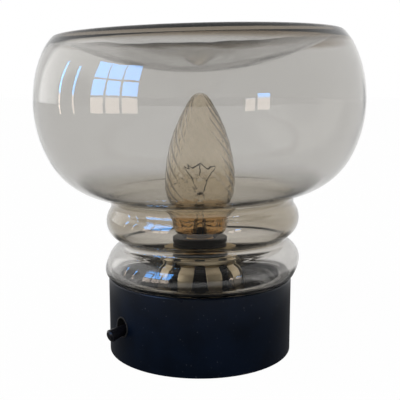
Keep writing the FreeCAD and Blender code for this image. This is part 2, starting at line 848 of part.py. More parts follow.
def globe_surface(inset, fold_size):
    """Lines and arcs of the globe's face, from the axis below to the axis above.

    inset 0 gives the outer face and the glass wall gives the inner one: every arc but the fold
    keeps its centre, so bulges lose the wall from their radius and hollows gain it. The fold's
    radius is a size of its own on each face, because glass gathers in the crease.
    """
    def size(text):
        return value(text)

    def bulge(text):
        return size(text) - inset

    def hollow(text):
        return size(text) + inset

    under = size("glass_under") + inset
    side = size("foot_radius") - inset
    corner = V(size("foot_radius") - size("foot_round"), size("glass_under") + size("foot_round"), 0)
    ring_low = V(size("lower_ring_radius - lower_ring_round"), size("lower_ring_level"), 0)
    ring_high = V(size("upper_ring_radius - upper_ring_round"), size("upper_ring_level"), 0)
    blend = V(size("foot_radius + foot_blend"), size("ring_underside - foot_blend"), 0)
    reach = size("lower_ring_round - ring_corner_round")
    drop = size("ring_under_rise - ring_corner_round")
    ring_corner = ring_low + V(math.sqrt(reach ** 2 - drop ** 2), -drop, 0)
    bowl_side = V(size("bowl_radius - bowl_side_round"), size("bowl_level"), 0)
    belly_joint = polar(bowl_side, size("bowl_side_round"), -size("bowl_belly_angle"))
    belly = toward(belly_joint, size("bowl_belly_round"), bowl_side)
    under_joint = polar(belly, size("bowl_belly_round"), -size("bowl_under_angle"))
    bowl_under = toward(under_joint, size("bowl_under_round"), belly)
    shoulder_joint = polar(bowl_side, size("bowl_side_round"), size("bowl_shoulder_angle"))
    shoulder = toward(shoulder_joint, size("bowl_shoulder_round"), bowl_side)
    dish = V(0, size("dish_level + dish_round"), 0)
    fold = meeting(shoulder, bulge(f"bowl_shoulder_round - {fold_size}"),
                   dish, hollow(f"dish_round + {fold_size}"))
    low_pinch = meeting(ring_low, size("lower_ring_round + lower_pinch_round"),
                        ring_high, size("upper_ring_round + lower_pinch_round"))
    high_pinch = meeting(ring_high, size("upper_ring_round + upper_pinch_round"),
                         bowl_under, size("bowl_under_round + upper_pinch_round"))
    pieces = []
    spot = V(0, under, 0)

    def go_straight(goal):
        nonlocal spot
        pieces.append((spot, line(spot, goal), None))
        spot = goal

    def go_round(centre, radius, goal, text):
        nonlocal spot
        pieces.append((spot, curve(spot, goal, centre, radius), text))
        spot = goal

    grown, shrunk = f"+ {inset}", f"- {inset}"
    go_straight(V(corner.x, under, 0))
    go_round(corner, bulge("foot_round"), V(side, corner.y, 0), f"foot_round {shrunk}")
    go_straight(V(side, blend.y, 0))
    go_round(blend, hollow("foot_blend"), blend + V(0, hollow("foot_blend"), 0),
             f"foot_blend {grown}")
    go_straight(V(ring_corner.x, size("ring_underside") + inset, 0))
    go_round(ring_corner, bulge("ring_corner_round"),
             toward(ring_low, bulge("lower_ring_round"), ring_corner),
             f"ring_corner_round {shrunk}")
    go_round(ring_low, bulge("lower_ring_round"),
             toward(ring_low, bulge("lower_ring_round"), low_pinch),
             f"lower_ring_round {shrunk}")
    go_round(low_pinch, hollow("lower_pinch_round"),
             toward(ring_high, bulge("upper_ring_round"), low_pinch),
             f"lower_pinch_round {grown}")
    go_round(ring_high, bulge("upper_ring_round"),
             toward(ring_high, bulge("upper_ring_round"), high_pinch),
             f"upper_ring_round {shrunk}")
    go_round(high_pinch, hollow("upper_pinch_round"),
             toward(bowl_under, bulge("bowl_under_round"), high_pinch),
             f"upper_pinch_round {grown}")
    go_round(bowl_under, bulge("bowl_under_round"),
             toward(belly, bulge("bowl_belly_round"), under_joint), f"bowl_under_round {shrunk}")
    go_round(belly, bulge("bowl_belly_round"),
             toward(bowl_side, bulge("bowl_side_round"), belly_joint),
             f"bowl_belly_round {shrunk}")
    go_round(bowl_side, bulge("bowl_side_round"),
             toward(shoulder, bulge("bowl_shoulder_round"), shoulder_joint),
             f"bowl_side_round {shrunk}")
    go_round(shoulder, bulge("bowl_shoulder_round"),
             shoulder + (fold - shoulder).normalize() * bulge("bowl_shoulder_round"),
             f"bowl_shoulder_round {shrunk}")
    go_round(fold, size(fold_size), toward(dish, hollow("dish_round"), fold), fold_size)
    go_round(dish, hollow("dish_round"), V(0, dish.y - hollow("dish_round"), 0),
             f"dish_round {grown}")
    go_straight(V(0, under, 0))
    return pieces


def glass_globe():
    """Blown globe with a round hole in its foot, through which the crown's leaves reach."""
    body = new_body("glass_globe")
    outer_face = globe_surface(0.0, "fold_round")
    inner_face = globe_surface(value("glass_wall"), "fold_fill_round")
    revolve(body, curved_outline(body, "outer_face", outer_face), "blown")
    revolve(body, curved_outline(body, "inner_face", inner_face), "hollowed", "Groove")
    shape(body, "SubtractiveCylinder", "hole", ("0", "0", "glass_under - 1"),
          Radius="glass_hole_radius", Height="glass_wall + 2")
    return body


def seat_gasket():
    """Soft ring on the base's floor that the globe's foot rests on."""
    return turned("seat_gasket", [
        ("gasket_inner_radius", "floor_level"),
        ("foot_radius - gasket_inset", "floor_level"),
        ("foot_radius - gasket_inset", "glass_under"),
        ("gasket_inner_radius", "glass_under"),
    ])


# Candle bulb


def bulb_surface(inset):
    """Lines and arcs of the bulb's glass, from the neck to the tip."""
    widest = V(value("bulb_radius - bulb_ogive_round"), value("bulb_widest_level"), 0)
    ogive = value("bulb_ogive_round")
    flare = V(value("bulb_radius - bulb_flare_round"), value("bulb_widest_level"), 0)
    height = value("bulb_top - bulb_widest_level")
    nose_round = (ogive ** 2 - widest.x ** 2 - height ** 2) / (2 * (ogive - height))
    nose = V(0, value("bulb_top") - nose_round, 0)
    heel_round = value("bulb_heel_round")
    heel = V(value("bulb_heel_radius") - heel_round, value("bulb_heel_level") + heel_round, 0)
    flare_turn = value("bulb_flare_angle")
    flare_end = polar(flare, value("bulb_flare_round") - inset, -flare_turn)
    heel_end = polar(heel, heel_round - inset, -flare_turn)
    neck = value("bulb_neck_radius") - inset
    heel_low = V(heel.x, heel.y - heel_round + inset, 0)
    bottom = value("bulb_heel_level - bulb_neck_length")
    nose_joint = nose + (nose - widest).normalize() * (nose_round - inset)
    equator = V(value("bulb_radius") - inset, widest.y, 0)
    tip = V(0, nose.y + nose_round - inset, 0)
    floor_centre, floor_edge = V(0, bottom, 0), V(neck, bottom, 0)
    neck_top = V(neck, heel_low.y, 0)
    shrunk = f"- {inset}"
    return [
        (floor_centre, line(floor_centre, floor_edge), None),
        (floor_edge, line(floor_edge, neck_top), None),
        (neck_top, line(neck_top, heel_low), None),
        (heel_low, curve(heel_low, heel_end, heel, heel_round - inset),
         f"bulb_heel_round {shrunk}"),
        (heel_end, line(heel_end, flare_end), None),
        (flare_end, curve(flare_end, equator, flare, value("bulb_flare_round") - inset),
         f"bulb_flare_round {shrunk}"),
        (equator, curve(equator, nose_joint, widest, ogive - inset), f"bulb_ogive_round {shrunk}"),
        (nose_joint, curve(nose_joint, tip, nose, nose_round - inset), None),
        (tip, line(tip, floor_centre), None),
    ]


def bulb_glass():
    body = new_body("bulb_glass")
    revolve(body, curved_outline(body, "outer_face", bulb_surface(0.0)), "blown")
    revolve(body, curved_outline(body, "inner_face", bulb_surface(value("bulb_wall"))),
            "hollowed", "Groove")
    return body


def bulb_cap():
    """Brass screw cap: pressed thread below, plain flared skirt under the bulb's glass."""
    turns = int(value("cap_thread_turns"))
    start = "cap_under + thread_pitch / 4"
    crest = "cap_thread_radius - cap_thread_wave"
    top = "bulb_heel_level - cap_glass_gap"
    shoulder = f"{start} + {turns} * thread_pitch + thread_pitch / 2"
    outer = waves(start, turns, crest, "cap_thread_wave", "0", True)
    inner = waves(start, turns, crest, "cap_thread_wave", "0 - brass_sheet", False)
    return turned("bulb_cap", [
        ("contact_radius + 1", "cap_under"),
        (crest, "cap_under"),
    ] + outer + [
        ("cap_thread_radius", shoulder),
        ("cap_thread_radius", f"{top} - cap_flare_radius + cap_thread_radius"),
        ("cap_flare_radius", top),
        ("cap_flare_radius - brass_sheet", top),
        ("cap_thread_radius - brass_sheet", f"{top} - cap_flare_radius + cap_thread_radius"),
        ("cap_thread_radius - brass_sheet", shoulder),
    ] + inner + [
        (f"{crest} - brass_sheet", "cap_under + brass_sheet"),
        ("contact_radius + 1", "cap_under + brass_sheet"),
    ])


def bulb_insulator():
    return turned("bulb_insulator", [
        ("0", "insulator_under"),
        ("contact_radius + 1", "insulator_under"),
        ("cap_thread_radius - cap_thread_wave", "cap_under"),
        ("0", "cap_under"),
    ])


def bulb_contact():
    """Soldered tip contact, the lowest point of the bulb."""
    return turned("bulb_contact", [
        ("0", "contact_under"),
        ("contact_radius / 2", "contact_under"),
        ("contact_radius", "contact_under + contact_height / 2"),
        ("contact_radius", "insulator_under"),
        ("0", "insulator_under"),
    ])


def bulb_stem():
    """Glass stem: a tube that stands in the neck, pressed flat, then a rod."""
    neck = "bulb_neck_radius - bulb_wall"
    low = "bulb_heel_level - bulb_neck_length"
    return turned("bulb_stem", [
        ("stem_rod_radius", low),
        (neck, low),
        (f"{neck}", f"{low} + bulb_wall"),
        ("stem_radius", f"{low} + 2 * bulb_neck_radius"),
        ("stem_radius", "stem_press_level"),
        ("stem_rod_radius", "stem_press_level + stem_radius"),
        ("stem_rod_radius", "stem_top_level - stem_rod_radius"),
        ("stem_rod_radius * 1.4", "stem_top_level"),
        ("0", "stem_top_level + stem_rod_radius"),
        ("0", "stem_press_level - stem_radius"),
        ("stem_rod_radius", "stem_press_level - 2 * stem_radius"),
    ])


def wire(label, paths, radius):
    """Thin wires: rods with round joints along each path."""
    reach = value(radius)
    item = doc.addObject("Part::Feature", label)
    item.Label = label
    wires = []
    for path in paths:
        spots = [V(*(value(text) for text in spot)) for spot in path]
        pieces = [Part.makeCylinder(reach, (end - start).Length, start, end - start)
                  for start, end in zip(spots, spots[1:])]
        pieces += [Part.makeSphere(reach, spot) for spot in spots[1:-1]]
        wires.append(pieces[0].fuse(pieces[1:]).removeSplitter() if pieces[1:] else pieces[0])
    item.Shape = wires[0] if len(wires) == 1 else Part.makeCompound(wires)
    return item


def bulb_wires():
    """Two lead-in wires from the press to the filament's ends, and a support to its middle."""
    clear = "(filament_radius + 2 * support_radius)"
    sides = []
    for side in (-1, 1):
        sides.append([
            (f"{side} * (stem_rod_radius + 3 * support_radius)", "0", "stem_press_level + stem_radius"),
            (f"{side} * filament_half_span / 2", "0", "stem_top_level"),
            (f"{side} * filament_half_span", "0", f"filament_level - {clear}"),
        ])
    middle = [("0", "0", "stem_top_level + stem_rod_radius"),
              ("0", "0", f"filament_level + stem_rod_radius - {clear}")]
    return wire("bulb_wires", sides + [middle], "support_radius")


def bulb_filament():
    """Filament strung between the wires, a little higher at its middle."""
    return wire("bulb_filament", [[
        ("-filament_half_span", "0", "filament_level"),
        ("-filament_half_span / 2", "0", "filament_level - stem_rod_radius"),
        ("0", "0", "filament_level + stem_rod_radius"),
        ("filament_half_span / 2", "0", "filament_level - stem_rod_radius"),
        ("filament_half_span", "0", "filament_level"),
    ]], "filament_radius")


# Lever switch, built along +X from the lamp's axis and turned to its bearing


def at_bearing(item):
    bind(item, "Placement.Rotation.Angle", "switch_bearing")
    return item


def switch_box(body, name, kind, low, high, widths, levels):
    """A box between two distances from the axis, centred across, between two heights."""
    return shape(body, kind, name, (low, f"-({widths}) / 2", levels[0]),
                 Length=f"{high} - ({low})", Width=widths, Height=f"{levels[1]} - ({levels[0]})")


def switch_housing():
    """Moulded shell, open at the back, with a funnel-mouthed snout that fills the wall's hole."""
    body = new_body("switch_housing")
    low, high = "switch_level - switch_body_height / 2", "switch_level + switch_body_height / 2"
    switch_box(body, "block", "AdditiveBox", "switch_back", "switch_front",
               "switch_body_width", (low, high))
    shape(body, "AdditiveCylinder", "snout", ("switch_front", "0", "switch_level"), ALONG_X,
          Radius="snout_radius", Height="base_radius + snout_proud - switch_front")
    switch_box(body, "cavity", "SubtractiveBox", "switch_back - 1", "switch_front - switch_shell",
               "switch_body_width - 2 * switch_shell",
               (f"{low} + switch_shell", f"{high} - switch_shell"))
    shape(body, "SubtractiveCone", "funnel", ("switch_front - switch_shell", "0", "switch_level"),
          ALONG_X, Radius1="snout_throat", Radius2="snout_mouth",
          Height="base_radius + snout_proud - switch_front + switch_shell")
    shape(body, "SubtractiveCylinder", "pin_hole",
          ("lever_pivot", "-switch_body_width / 2 - 1", "switch_level"), ALONG_Y,
          Radius="lever_pin_radius + thread_fit", Height="switch_body_width + 2")
    return at_bearing(body)


def switch_plate():
    """Insulating plate that closes the housing's back and holds the terminals."""
    body = new_body("switch_plate")
    switch_box(body, "plate", "AdditiveBox", "switch_back - switch_back_thickness", "switch_back",
               "switch_body_width", ("switch_level - switch_body_height / 2",
                                     "switch_level + switch_body_height / 2"))
    half = "switch_terminal_thickness / 2 + thread_fit"
    for name, level in (("centre", "switch_level"), ("end", "switch_level - end_contact_drop")):
        switch_box(body, f"{name}_slit", "SubtractiveBox",
                   "switch_back - switch_back_thickness - 1", "switch_back + 1",
                   "switch_terminal_width + 2 * thread_fit",
                   (f"{level} - ({half})", f"{level} + {half}"))
    return at_bearing(body)


def switch_terminals():
    """Two brass blades: the fulcrum of the rocker, and the contact that it meets."""
    blades = []
    for name, level, reach in (("fulcrum", "switch_level", "fulcrum_length"),
                               ("contact", "switch_level - end_contact_drop",
                                "end_contact_length")):
        blade = solid("Box", f"blade_{name}",
                      ("switch_back - switch_back_thickness - switch_terminal_length",
                       "-switch_terminal_width / 2", f"{level} - switch_terminal_thickness / 2"),
                      Length=f"switch_terminal_length + switch_back_thickness + {reach}",
                      Width="switch_terminal_width", Height="switch_terminal_thickness")
        blades.append(blade)
    return at_bearing(group("switch_terminals", blades))


def contact_rocker():
    """Seesaw contact on its fulcrum, tipped away from the end contact while the lever is down."""
    body = new_body("contact_rocker")
    half = "rocker_half_length"
    sketch = outline(body, "section", [
        ("-rocker_thickness / 2", f"-{half}"),
        ("rocker_thickness / 2", f"-{half}"),
        ("rocker_thickness / 2", half),
        ("-rocker_thickness / 2", half),
    ])
    pad(body, sketch, "rocker_width")
    bearing = FreeCAD.Rotation(V(0, 0, 1), value("switch_bearing"))
    body.Placement = FreeCAD.Placement(
        bearing.multVec(V(value("rocker_plane"), 0, value("switch_level"))),
        bearing * FreeCAD.Rotation(V(0, 1, 0), -value("rocker_tilt")))
    return body


def switch_bracket():
    """Sheet bracket welded under the floor that carries the switch by its snout."""
    body = new_body("switch_bracket")
    switch_box(body, "face", "AdditiveBox", "switch_front", "bracket_outer", "switch_body_width",
               ("switch_level - switch_body_height / 2", "floor_under"))
    switch_box(body, "tab", "AdditiveBox", "switch_front - bracket_tab", "bracket_outer",
               "switch_body_width", ("floor_under - bracket_thickness", "floor_under"))
    shape(body, "SubtractiveCylinder", "snout_hole", ("switch_front - 1", "0", "switch_level"),
          ALONG_X, Radius="snout_radius + snout_fit", Height="bracket_thickness + 2")
    return at_bearing(body)


def switch_nut():
    """Thin round nut on the snout, behind the wall."""
    body = new_body("switch_nut")
    shape(body, "AdditiveCylinder", "disc", ("bracket_outer", "0", "switch_level"), ALONG_X,
          Radius="switch_nut_radius", Height="switch_nut_thickness")
    shape(body, "SubtractiveCylinder", "bore", ("bracket_outer - 1", "0", "switch_level"),
          ALONG_X, Radius="snout_radius + thread_fit", Height="switch_nut_thickness + 2")
    return at_bearing(body)


def tilted(item):
    """Turn a piece of the lever, drawn level from its pivot, down to its rest position."""
    bearing = FreeCAD.Rotation(V(0, 0, 1), value("switch_bearing"))
    item.Placement = FreeCAD.Placement(
        bearing.multVec(V(value("lever_pivot"), 0, value("switch_level"))),
        bearing * FreeCAD.Rotation(V(0, 1, 0), value("lever_tilt")))
    return item


def switch_lever():
    """Bat lever: flared handle outside, ball on the pin, hollow arm inside."""
    body = new_body("switch_lever")
    tip = "base_radius - lever_pivot + lever_length"
    half = "lever_arm_radius"
    revolve(body, outline(body, "section", [
        ("-lever_arm_length", "0"),
        ("-lever_arm_length", half),
        ("0", half),
        ("0", "lever_root_radius"),
        (f"{tip} - lever_chamfer", "lever_tip_radius"),
        (tip, "lever_tip_radius - lever_chamfer"),
        (tip, "0"),
    ]), axis="H_Axis")
    shape(body, "AdditiveSphere", "ball", Radius="lever_ball_radius")
    shape(body, "SubtractiveCylinder", "spring_bore", ("-lever_arm_length - 1", "0", "0"), ALONG_X,
          Radius="lever_arm_bore", Height="lever_arm_bore_depth + 1")
    shape(body, "SubtractiveCylinder", "pin_bore", ("0", "-lever_ball_radius - 1", "0"), ALONG_Y,
          Radius="lever_pin_radius + thread_fit", Height="2 * lever_ball_radius + 2")
    return tilted(body)


def lever_pin():
    body = new_body("lever_pin")
    shape(body, "AdditiveCylinder", "pin",
          ("lever_pivot", "-switch_body_width / 2 + loose_fit", "switch_level"), ALONG_Y,
          Radius="lever_pin_radius", Height="switch_body_width - 2 * loose_fit")
    return at_bearing(body)


def switch_plunger():
    """Pin in the lever's arm that slides along the rocker."""
    body = new_body("switch_plunger")
    nose = "-(lever_pivot - rocker_plane - rocker_thickness / 2 - plunger_stroke_gap)"
    revolve(body, outline(body, "section", [
        (nose, "0"),
        (f"{nose} + lever_arm_bore / 2", "lever_arm_bore - plunger_fit"),
        ("-lever_arm_length + plunger_head_length", "lever_arm_bore - plunger_fit"),
        ("-lever_arm_length + plunger_head_length", "0"),
    ]), axis="H_Axis")
    return tilted(body)


def switch_spring():
    """Small compression spring behind the plunger, kept as a plain sleeve."""
    body = new_body("switch_spring")
    revolve(body, outline(body, "section", [
        ("-lever_arm_length + plunger_head_length", "lever_arm_bore / 2"),
        ("-lever_arm_length + lever_arm_bore_depth", "lever_arm_bore / 2"),
        ("-lever_arm_length + lever_arm_bore_depth", "lever_arm_bore - plunger_fit"),
        ("-lever_arm_length + plunger_head_length", "lever_arm_bore - plunger_fit"),
    ]), axis="H_Axis")
    return tilted(body)


# Terminal block


def terminal_block():
    body = new_body("terminal_block")
    shape(body, "AdditiveBox", "block", ("-block_width / 2", "block_front", "plate_top"),
          Length="block_width", Width="block_length", Height="block_height")
    for side, name in ((-1, "left"), (1, "right")):
        across = f"{side} * block_pole_half_pitch"
        shape(body, "SubtractiveCylinder", f"{name}_bore",
              (across, "block_front - 1", "block_bore_level"), ALONG_Y,
              Radius="insert_radius + insert_fit", Height="block_length + 2")
        for end, along in (("front", "block_front + clamp_screw_inset"),
                           ("rear", "block_front + block_length - clamp_screw_inset")):
            shape(body, "SubtractiveCylinder", f"{name}_{end}_well",
                  (across, along, "block_bore_level"),
                  Radius="clamp_screw_radius + thread_fit", Height="block_height")
    middle = "block_front + block_length / 2"
    shape(body, "SubtractiveCylinder", "mount_hole", ("0", middle, "plate_top - 1"),
          Radius="mount_screw_radius + thread_fit", Height="block_height + 2")
    shape(body, "SubtractiveCylinder", "mount_recess",
          ("0", middle, "plate_top + block_height - mount_screw_head_height"),
          Radius="mount_screw_head_radius + thread_fit", Height="block_height")
    return body


def terminal_inserts():
    inserts = []
    for side, name in ((-1, "left"), (1, "right")):
        across = f"{side} * block_pole_half_pitch"
        tube = solid("Cylinder", f"insert_{name}", (across, "block_front", "block_bore_level"),
                     ALONG_Y, Radius="insert_radius", Height="block_length")
        bore = solid("Cylinder", f"insert_bore_{name}",
                     (across, "block_front - 1", "block_bore_level"), ALONG_Y,
                     Radius="insert_bore", Height="block_length + 2")
        tools = [bore]
        for end, along in (("front", "block_front + clamp_screw_inset"),
                           ("rear", "block_front + block_length - clamp_screw_inset")):
            tools.append(solid("Cylinder", f"insert_well_{name}_{end}",
                               (across, along, "block_bore_level"),
                               Radius="clamp_screw_radius + thread_fit", Height="block_height"))
        inserts.append(cut(f"insert_drilled_{name}", tube, fuse(f"insert_tools_{name}", tools)))
    return group("terminal_inserts", inserts)


def slotted_screw(name, at, length):
    """Grub screw with a slot across its top."""
    across, along, up = at
    rod = solid("Cylinder", f"{name}_rod", at, Radius="clamp_screw_radius", Height=length)
    slot = solid("Box", f"{name}_slot",
                 (f"{across} - clamp_screw_radius - 1", f"{along} - screw_slot_width / 3",
                  f"{up} + {length} - screw_slot_depth"),
                 Length="2 * clamp_screw_radius + 2", Width="2 * screw_slot_width / 3",
                 Height="screw_slot_depth + 1")
    return cut(name, rod, slot)


def terminal_clamp_screws():
    tip = "block_bore_level + lead_radius + thread_fit"
    screws = []
    for side, name in ((-1, "left"), (1, "right")):
        for end, along in (("front", "block_front + clamp_screw_inset"),
                           ("rear", "block_front + block_length - clamp_screw_inset")):
            screws.append(slotted_screw(
                f"clamp_screw_{name}_{end}", (f"{side} * block_pole_half_pitch", along, tip),
                f"plate_top + block_height - clamp_screw_sink - ({tip})"))
    return group("terminal_clamp_screws", screws)


def block_mount_screw():
    middle = "block_front + block_length / 2"
    body = new_body("block_mount_screw")
    shape(body, "AdditiveCylinder", "shank", ("0", middle, "felt_thickness"),
          Radius="mount_screw_radius",
          Height="plate_thickness + block_height - mount_screw_head_height / 2")
    shape(body, "AdditiveCylinder", "head",
          ("0", middle, "plate_top + block_height - mount_screw_head_height"),
          Radius="mount_screw_head_radius", Height="mount_screw_head_height - thread_fit")
    shape(body, "SubtractiveBox", "slot",
          ("-mount_screw_head_radius - 1", f"{middle} - screw_slot_width / 2",
           "plate_top + block_height - screw_slot_depth"),
          Length="2 * mount_screw_head_radius + 2", Width="screw_slot_width",
          Height="screw_slot_depth + 1")
    return body


# Leads


def lead(label, corners):
    """A round lead: straight runs joined by tangent arcs, each as large as its runs allow."""
    spots = [V(*corner) for corner in corners]
    edges = []
    last = spots[0]
    for before, corner, after in zip(spots, spots[1:], spots[2:]):
        inward, outward = (before - corner).normalize(), (after - corner).normalize()
        half_turn = (math.pi - inward.getAngle(outward)) / 2
        tangent = value("lead_arc_share") * min((before - corner).Length, (after - corner).Length)
        radius = tangent / math.tan(half_turn)
        print(f"{label}: turn {math.degrees(2 * half_turn):.0f} degrees, radius {radius:.1f}")
        start, end = corner + inward * tangent, corner + outward * tangent
        bisector = (inward + outward).normalize()
        middle = corner + bisector * (radius / math.cos(half_turn) - radius)
        edges.append(Part.LineSegment(last, start).toShape())
        edges.append(Part.Arc(start, middle, end).toShape())
        last = end
    edges.append(Part.LineSegment(last, spots[-1]).toShape())
    path = Part.Wire(edges)
    direction = spots[1] - spots[0]
    ring = Part.Wire([Part.Circle(spots[0], direction, value("lead_radius")).toShape()])
    item = doc.addObject("Part::Feature", label)
    item.Label = label
    item.Shape = path.makePipeShell([ring], True, False)
    section = math.pi * value("lead_radius") ** 2
    print(f"{label}: volume over section times length {item.Shape.Volume / section / path.Length:.4f}")
    return item


def leads():
    """Live lead to the switch, switched lead to the lampholder's tip, neutral lead to its shell."""
    pole, bore_level = value("block_pole_half_pitch"), value("block_bore_level")
    inside = value("block_front + lead_entry")
    outside = value("block_front - lead_straight")
    lug = value("switch_back - switch_back_thickness - switch_terminal_length")
    along = FreeCAD.Rotation(V(0, 0, 1), value("switch_bearing")).multVec(V(1, 0, 0))
    spread_out = value("lead_spread")
    top = value("core_under - terminal_height")
    contact_level = value("switch_level - end_contact_drop")
    live_end = along * lug + V(0, 0, contact_level)
    live = lead("lead_live", [
        (-pole, inside, bore_level),
        (-pole, outside, bore_level),
        (-pole, value("live_lead_front"), bore_level + value("live_lead_rise")),
        tuple(along * value("live_lead_bend") + V(0, 0, contact_level)),
        tuple(live_end),
    ])
    level = value("switch_level")
    switched = lead("lead_switched", [
        tuple(along * (lug - value("lead_solder_gap")) + V(0, 0, level)),
        (-spread_out, 0, level),
        (-spread_out, 0, top),
    ])
    neutral = lead("lead_neutral", [
        (pole, inside, bore_level),
        (pole, outside, bore_level),
        (spread_out, 0, bore_level),
        (spread_out, 0, top),
    ])
    return [live, switched, neutral]


nodes = [
    base_shell(), bottom_plate(), felt_pad(), cover_posts(), cover_screws(), cable_grommet(),
    *nipple_parts(),
    holder_base(), holder_shell(), contact_core(), screw_shell(), contact_tongue(),
    contact_rivet(), holder_terminals(), holder_terminal_screws(), spring_crown(),
    glass_globe(), seat_gasket(),
    bulb_glass(), bulb_cap(), bulb_insulator(), bulb_contact(), bulb_stem(), bulb_wires(),
    bulb_filament(),
    switch_housing(), switch_plate(), switch_terminals(), contact_rocker(), switch_bracket(),
    switch_nut(), switch_lever(), lever_pin(), switch_plunger(), switch_spring(),
    terminal_block(), terminal_inserts(), terminal_clamp_screws(), block_mount_screw(),
    *leads(),
]
doc.recompute()

for item in doc.Objects:
    if {"Invalid", "Error"} & set(item.State):
        raise RuntimeError(f"{item.Name} failed: {item.State} {item.getStatusString()}")
for node in nodes:
    if node.Shape.isNull() or not node.Shape.isValid():
        raise RuntimeError(f"{node.Label} has no sound shape")

os.makedirs("parts", exist_ok=True)
for node in nodes:
    node.Shape.exportStep(f"parts/{node.Label}.step")
    box = node.Shape.BoundBox
    print(f"{node.Label}: {len(node.Shape.Solids)} solid, volume {node.Shape.Volume:.1f}, "
          f"x {box.XMin:.2f} {box.XMax:.2f}, y {box.YMin:.2f} {box.YMax:.2f}, "
          f"z {box.ZMin:.2f} {box.ZMax:.2f}")
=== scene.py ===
import math

import bmesh
import bpy
from mathutils import Matrix, Vector
from mathutils.geometry import intersect_sphere_sphere_2d


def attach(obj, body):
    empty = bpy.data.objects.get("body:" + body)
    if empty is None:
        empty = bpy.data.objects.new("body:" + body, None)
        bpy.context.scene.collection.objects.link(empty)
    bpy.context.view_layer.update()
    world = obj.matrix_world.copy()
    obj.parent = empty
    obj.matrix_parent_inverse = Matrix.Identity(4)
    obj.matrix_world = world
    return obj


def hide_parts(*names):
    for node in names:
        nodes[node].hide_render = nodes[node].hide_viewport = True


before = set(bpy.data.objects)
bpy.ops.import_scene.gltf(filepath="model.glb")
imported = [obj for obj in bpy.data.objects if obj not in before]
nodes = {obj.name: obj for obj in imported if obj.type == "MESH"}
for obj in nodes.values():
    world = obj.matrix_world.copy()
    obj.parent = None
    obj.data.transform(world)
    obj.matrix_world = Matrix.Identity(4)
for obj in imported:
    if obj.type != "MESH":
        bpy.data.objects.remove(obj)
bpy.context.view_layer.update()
mm = 0.001


# Globe
#
# One piece of smoke-grey glass, blown in a mould: two rings for a neck and a wide bowl whose
# top is pressed in to a shallow dish, which leaves a thick fold round it. The foot is ground
# flat round the hole that the crown's leaves reach through.


class Wire:
    """A number, colour or vector inside a finish; sums and products add their own nodes."""

    def __init__(self, finish, socket):
        self.finish, self.socket = finish, socket

    def __add__(self, other):
        return self.finish.sum_of("ADD", self, other)

    def __rsub__(self, other):
        return self.finish.sum_of("SUBTRACT", other, self)

    def __mul__(self, other):
        return self.finish.sum_of("MULTIPLY", self, other)

    __radd__, __rmul__ = __add__, __mul__


class Finish:
    """The nodes of a material, or of the room's light, asked for one by one."""

    def __init__(self, owner, end="ShaderNodeOutputMaterial"):
        self.owner = owner
        owner.use_nodes = True
        self.tree = owner.node_tree
        self.tree.nodes.clear()
        self.end = self.tree.nodes.new(end)

    def node(self, kind, settings=None, values=None, output=0):
        """A node: its settings are set first, then the values or links of its sockets."""
        made = self.tree.nodes.new(kind)
        for key, setting in (settings or {}).items():
            setattr(made, key, setting)
        for key, given in (values or {}).items():
            if isinstance(given, Wire):
                self.tree.links.new(given.socket, made.inputs[key])
            else:
                made.inputs[key].default_value = given
        return Wire(self, made.outputs[output])

    def sum_of(self, operation, first, second):
        return self.node("ShaderNodeMath", {"operation": operation}, {0: first, 1: second})

    def place(self):
        """Where a point of the piece lies, in metres."""
        return self.node("ShaderNodeTexCoord", output="Object")

    def along(self, axis, spot):
        return self.node("ShaderNodeSeparateXYZ", {}, {0: spot}, axis)

    def length(self, spot):
        return self.node("ShaderNodeVectorMath", {"operation": "LENGTH"}, {0: spot}, "Value")

    def noise(self, scale, detail, stretch=(1, 1, 1)):
        spot = self.node("ShaderNodeMapping", {}, {"Vector": self.place(), "Scale": stretch})
        return self.node("ShaderNodeTexNoise", {},
                         {"Vector": spot, "Scale": scale, "Detail": detail})

    def mask(self, field, low, high):
        """0 at one level of a field and 1 at the other, whichever of them lies higher."""
        return self.node("ShaderNodeMapRange", {"interpolation_type": "SMOOTHSTEP"},
                         {"Value": field, "From Min": low, "From Max": high})

    def tint(self, amount, first, second):
        """From one colour to another; 6 and 7 are the colour sockets of a mix, 2 its colour."""
        return self.node("ShaderNodeMix", {"data_type": "RGBA"},
                         {0: amount, 6: first, 7: second}, 2)

    def blend(self, amount, first, second):
        return self.node("ShaderNodeMixShader", {}, {0: amount, 1: first, 2: second})

    def glow(self, colour, strength):
        return self.node("ShaderNodeEmission", {}, {"Color": colour, "Strength": strength})

    def bump(self, field, height):
        return self.node("ShaderNodeBump", {}, {"Height": field, "Distance": height})

    def surface(self, **values):
        named = {key.replace("_", " ").title().replace("Ior", "IOR"): value
                 for key, value in values.items()}
        return self.close(self.node("ShaderNodeBsdfPrincipled", {}, named))

    def close(self, shader, socket="Surface"):
        self.tree.links.new(shader.socket, self.end.inputs[socket])
        return self.owner


def as_object(bm, name, material):
    """A finished mesh with its material, as an object of the scene."""
    mesh = bpy.data.meshes.new(name)
    bm.to_mesh(mesh)
    bm.free()
    mesh.materials.append(material)
    made = bpy.data.objects.new(name, mesh)
    bpy.context.scene.collection.objects.link(made)
    return made


def piece(bm, name, material, body, replaced):
    """A smooth object that rides on a body and stands for a solid."""
    made = as_object(bm, name, material)
    made.data.shade_smooth()
    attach(made, body)
    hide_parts(replaced)
    return made


def run_to(bm, last, across, up):
    """A straight edge of a profile from its last corner, in millimetres from the lamp's axis."""
    corner = bm.verts.new((across * mm, 0, up * mm))
    bm.edges.new((last, corner))
    return corner


def run_through(bm, first, *corners):
    """A profile's start: straight edges from its first corner through the others."""
    end = bm.verts.new((first[0] * mm, 0, first[1] * mm))
    for corner in corners:
        end = run_to(bm, end, *corner)
    return end


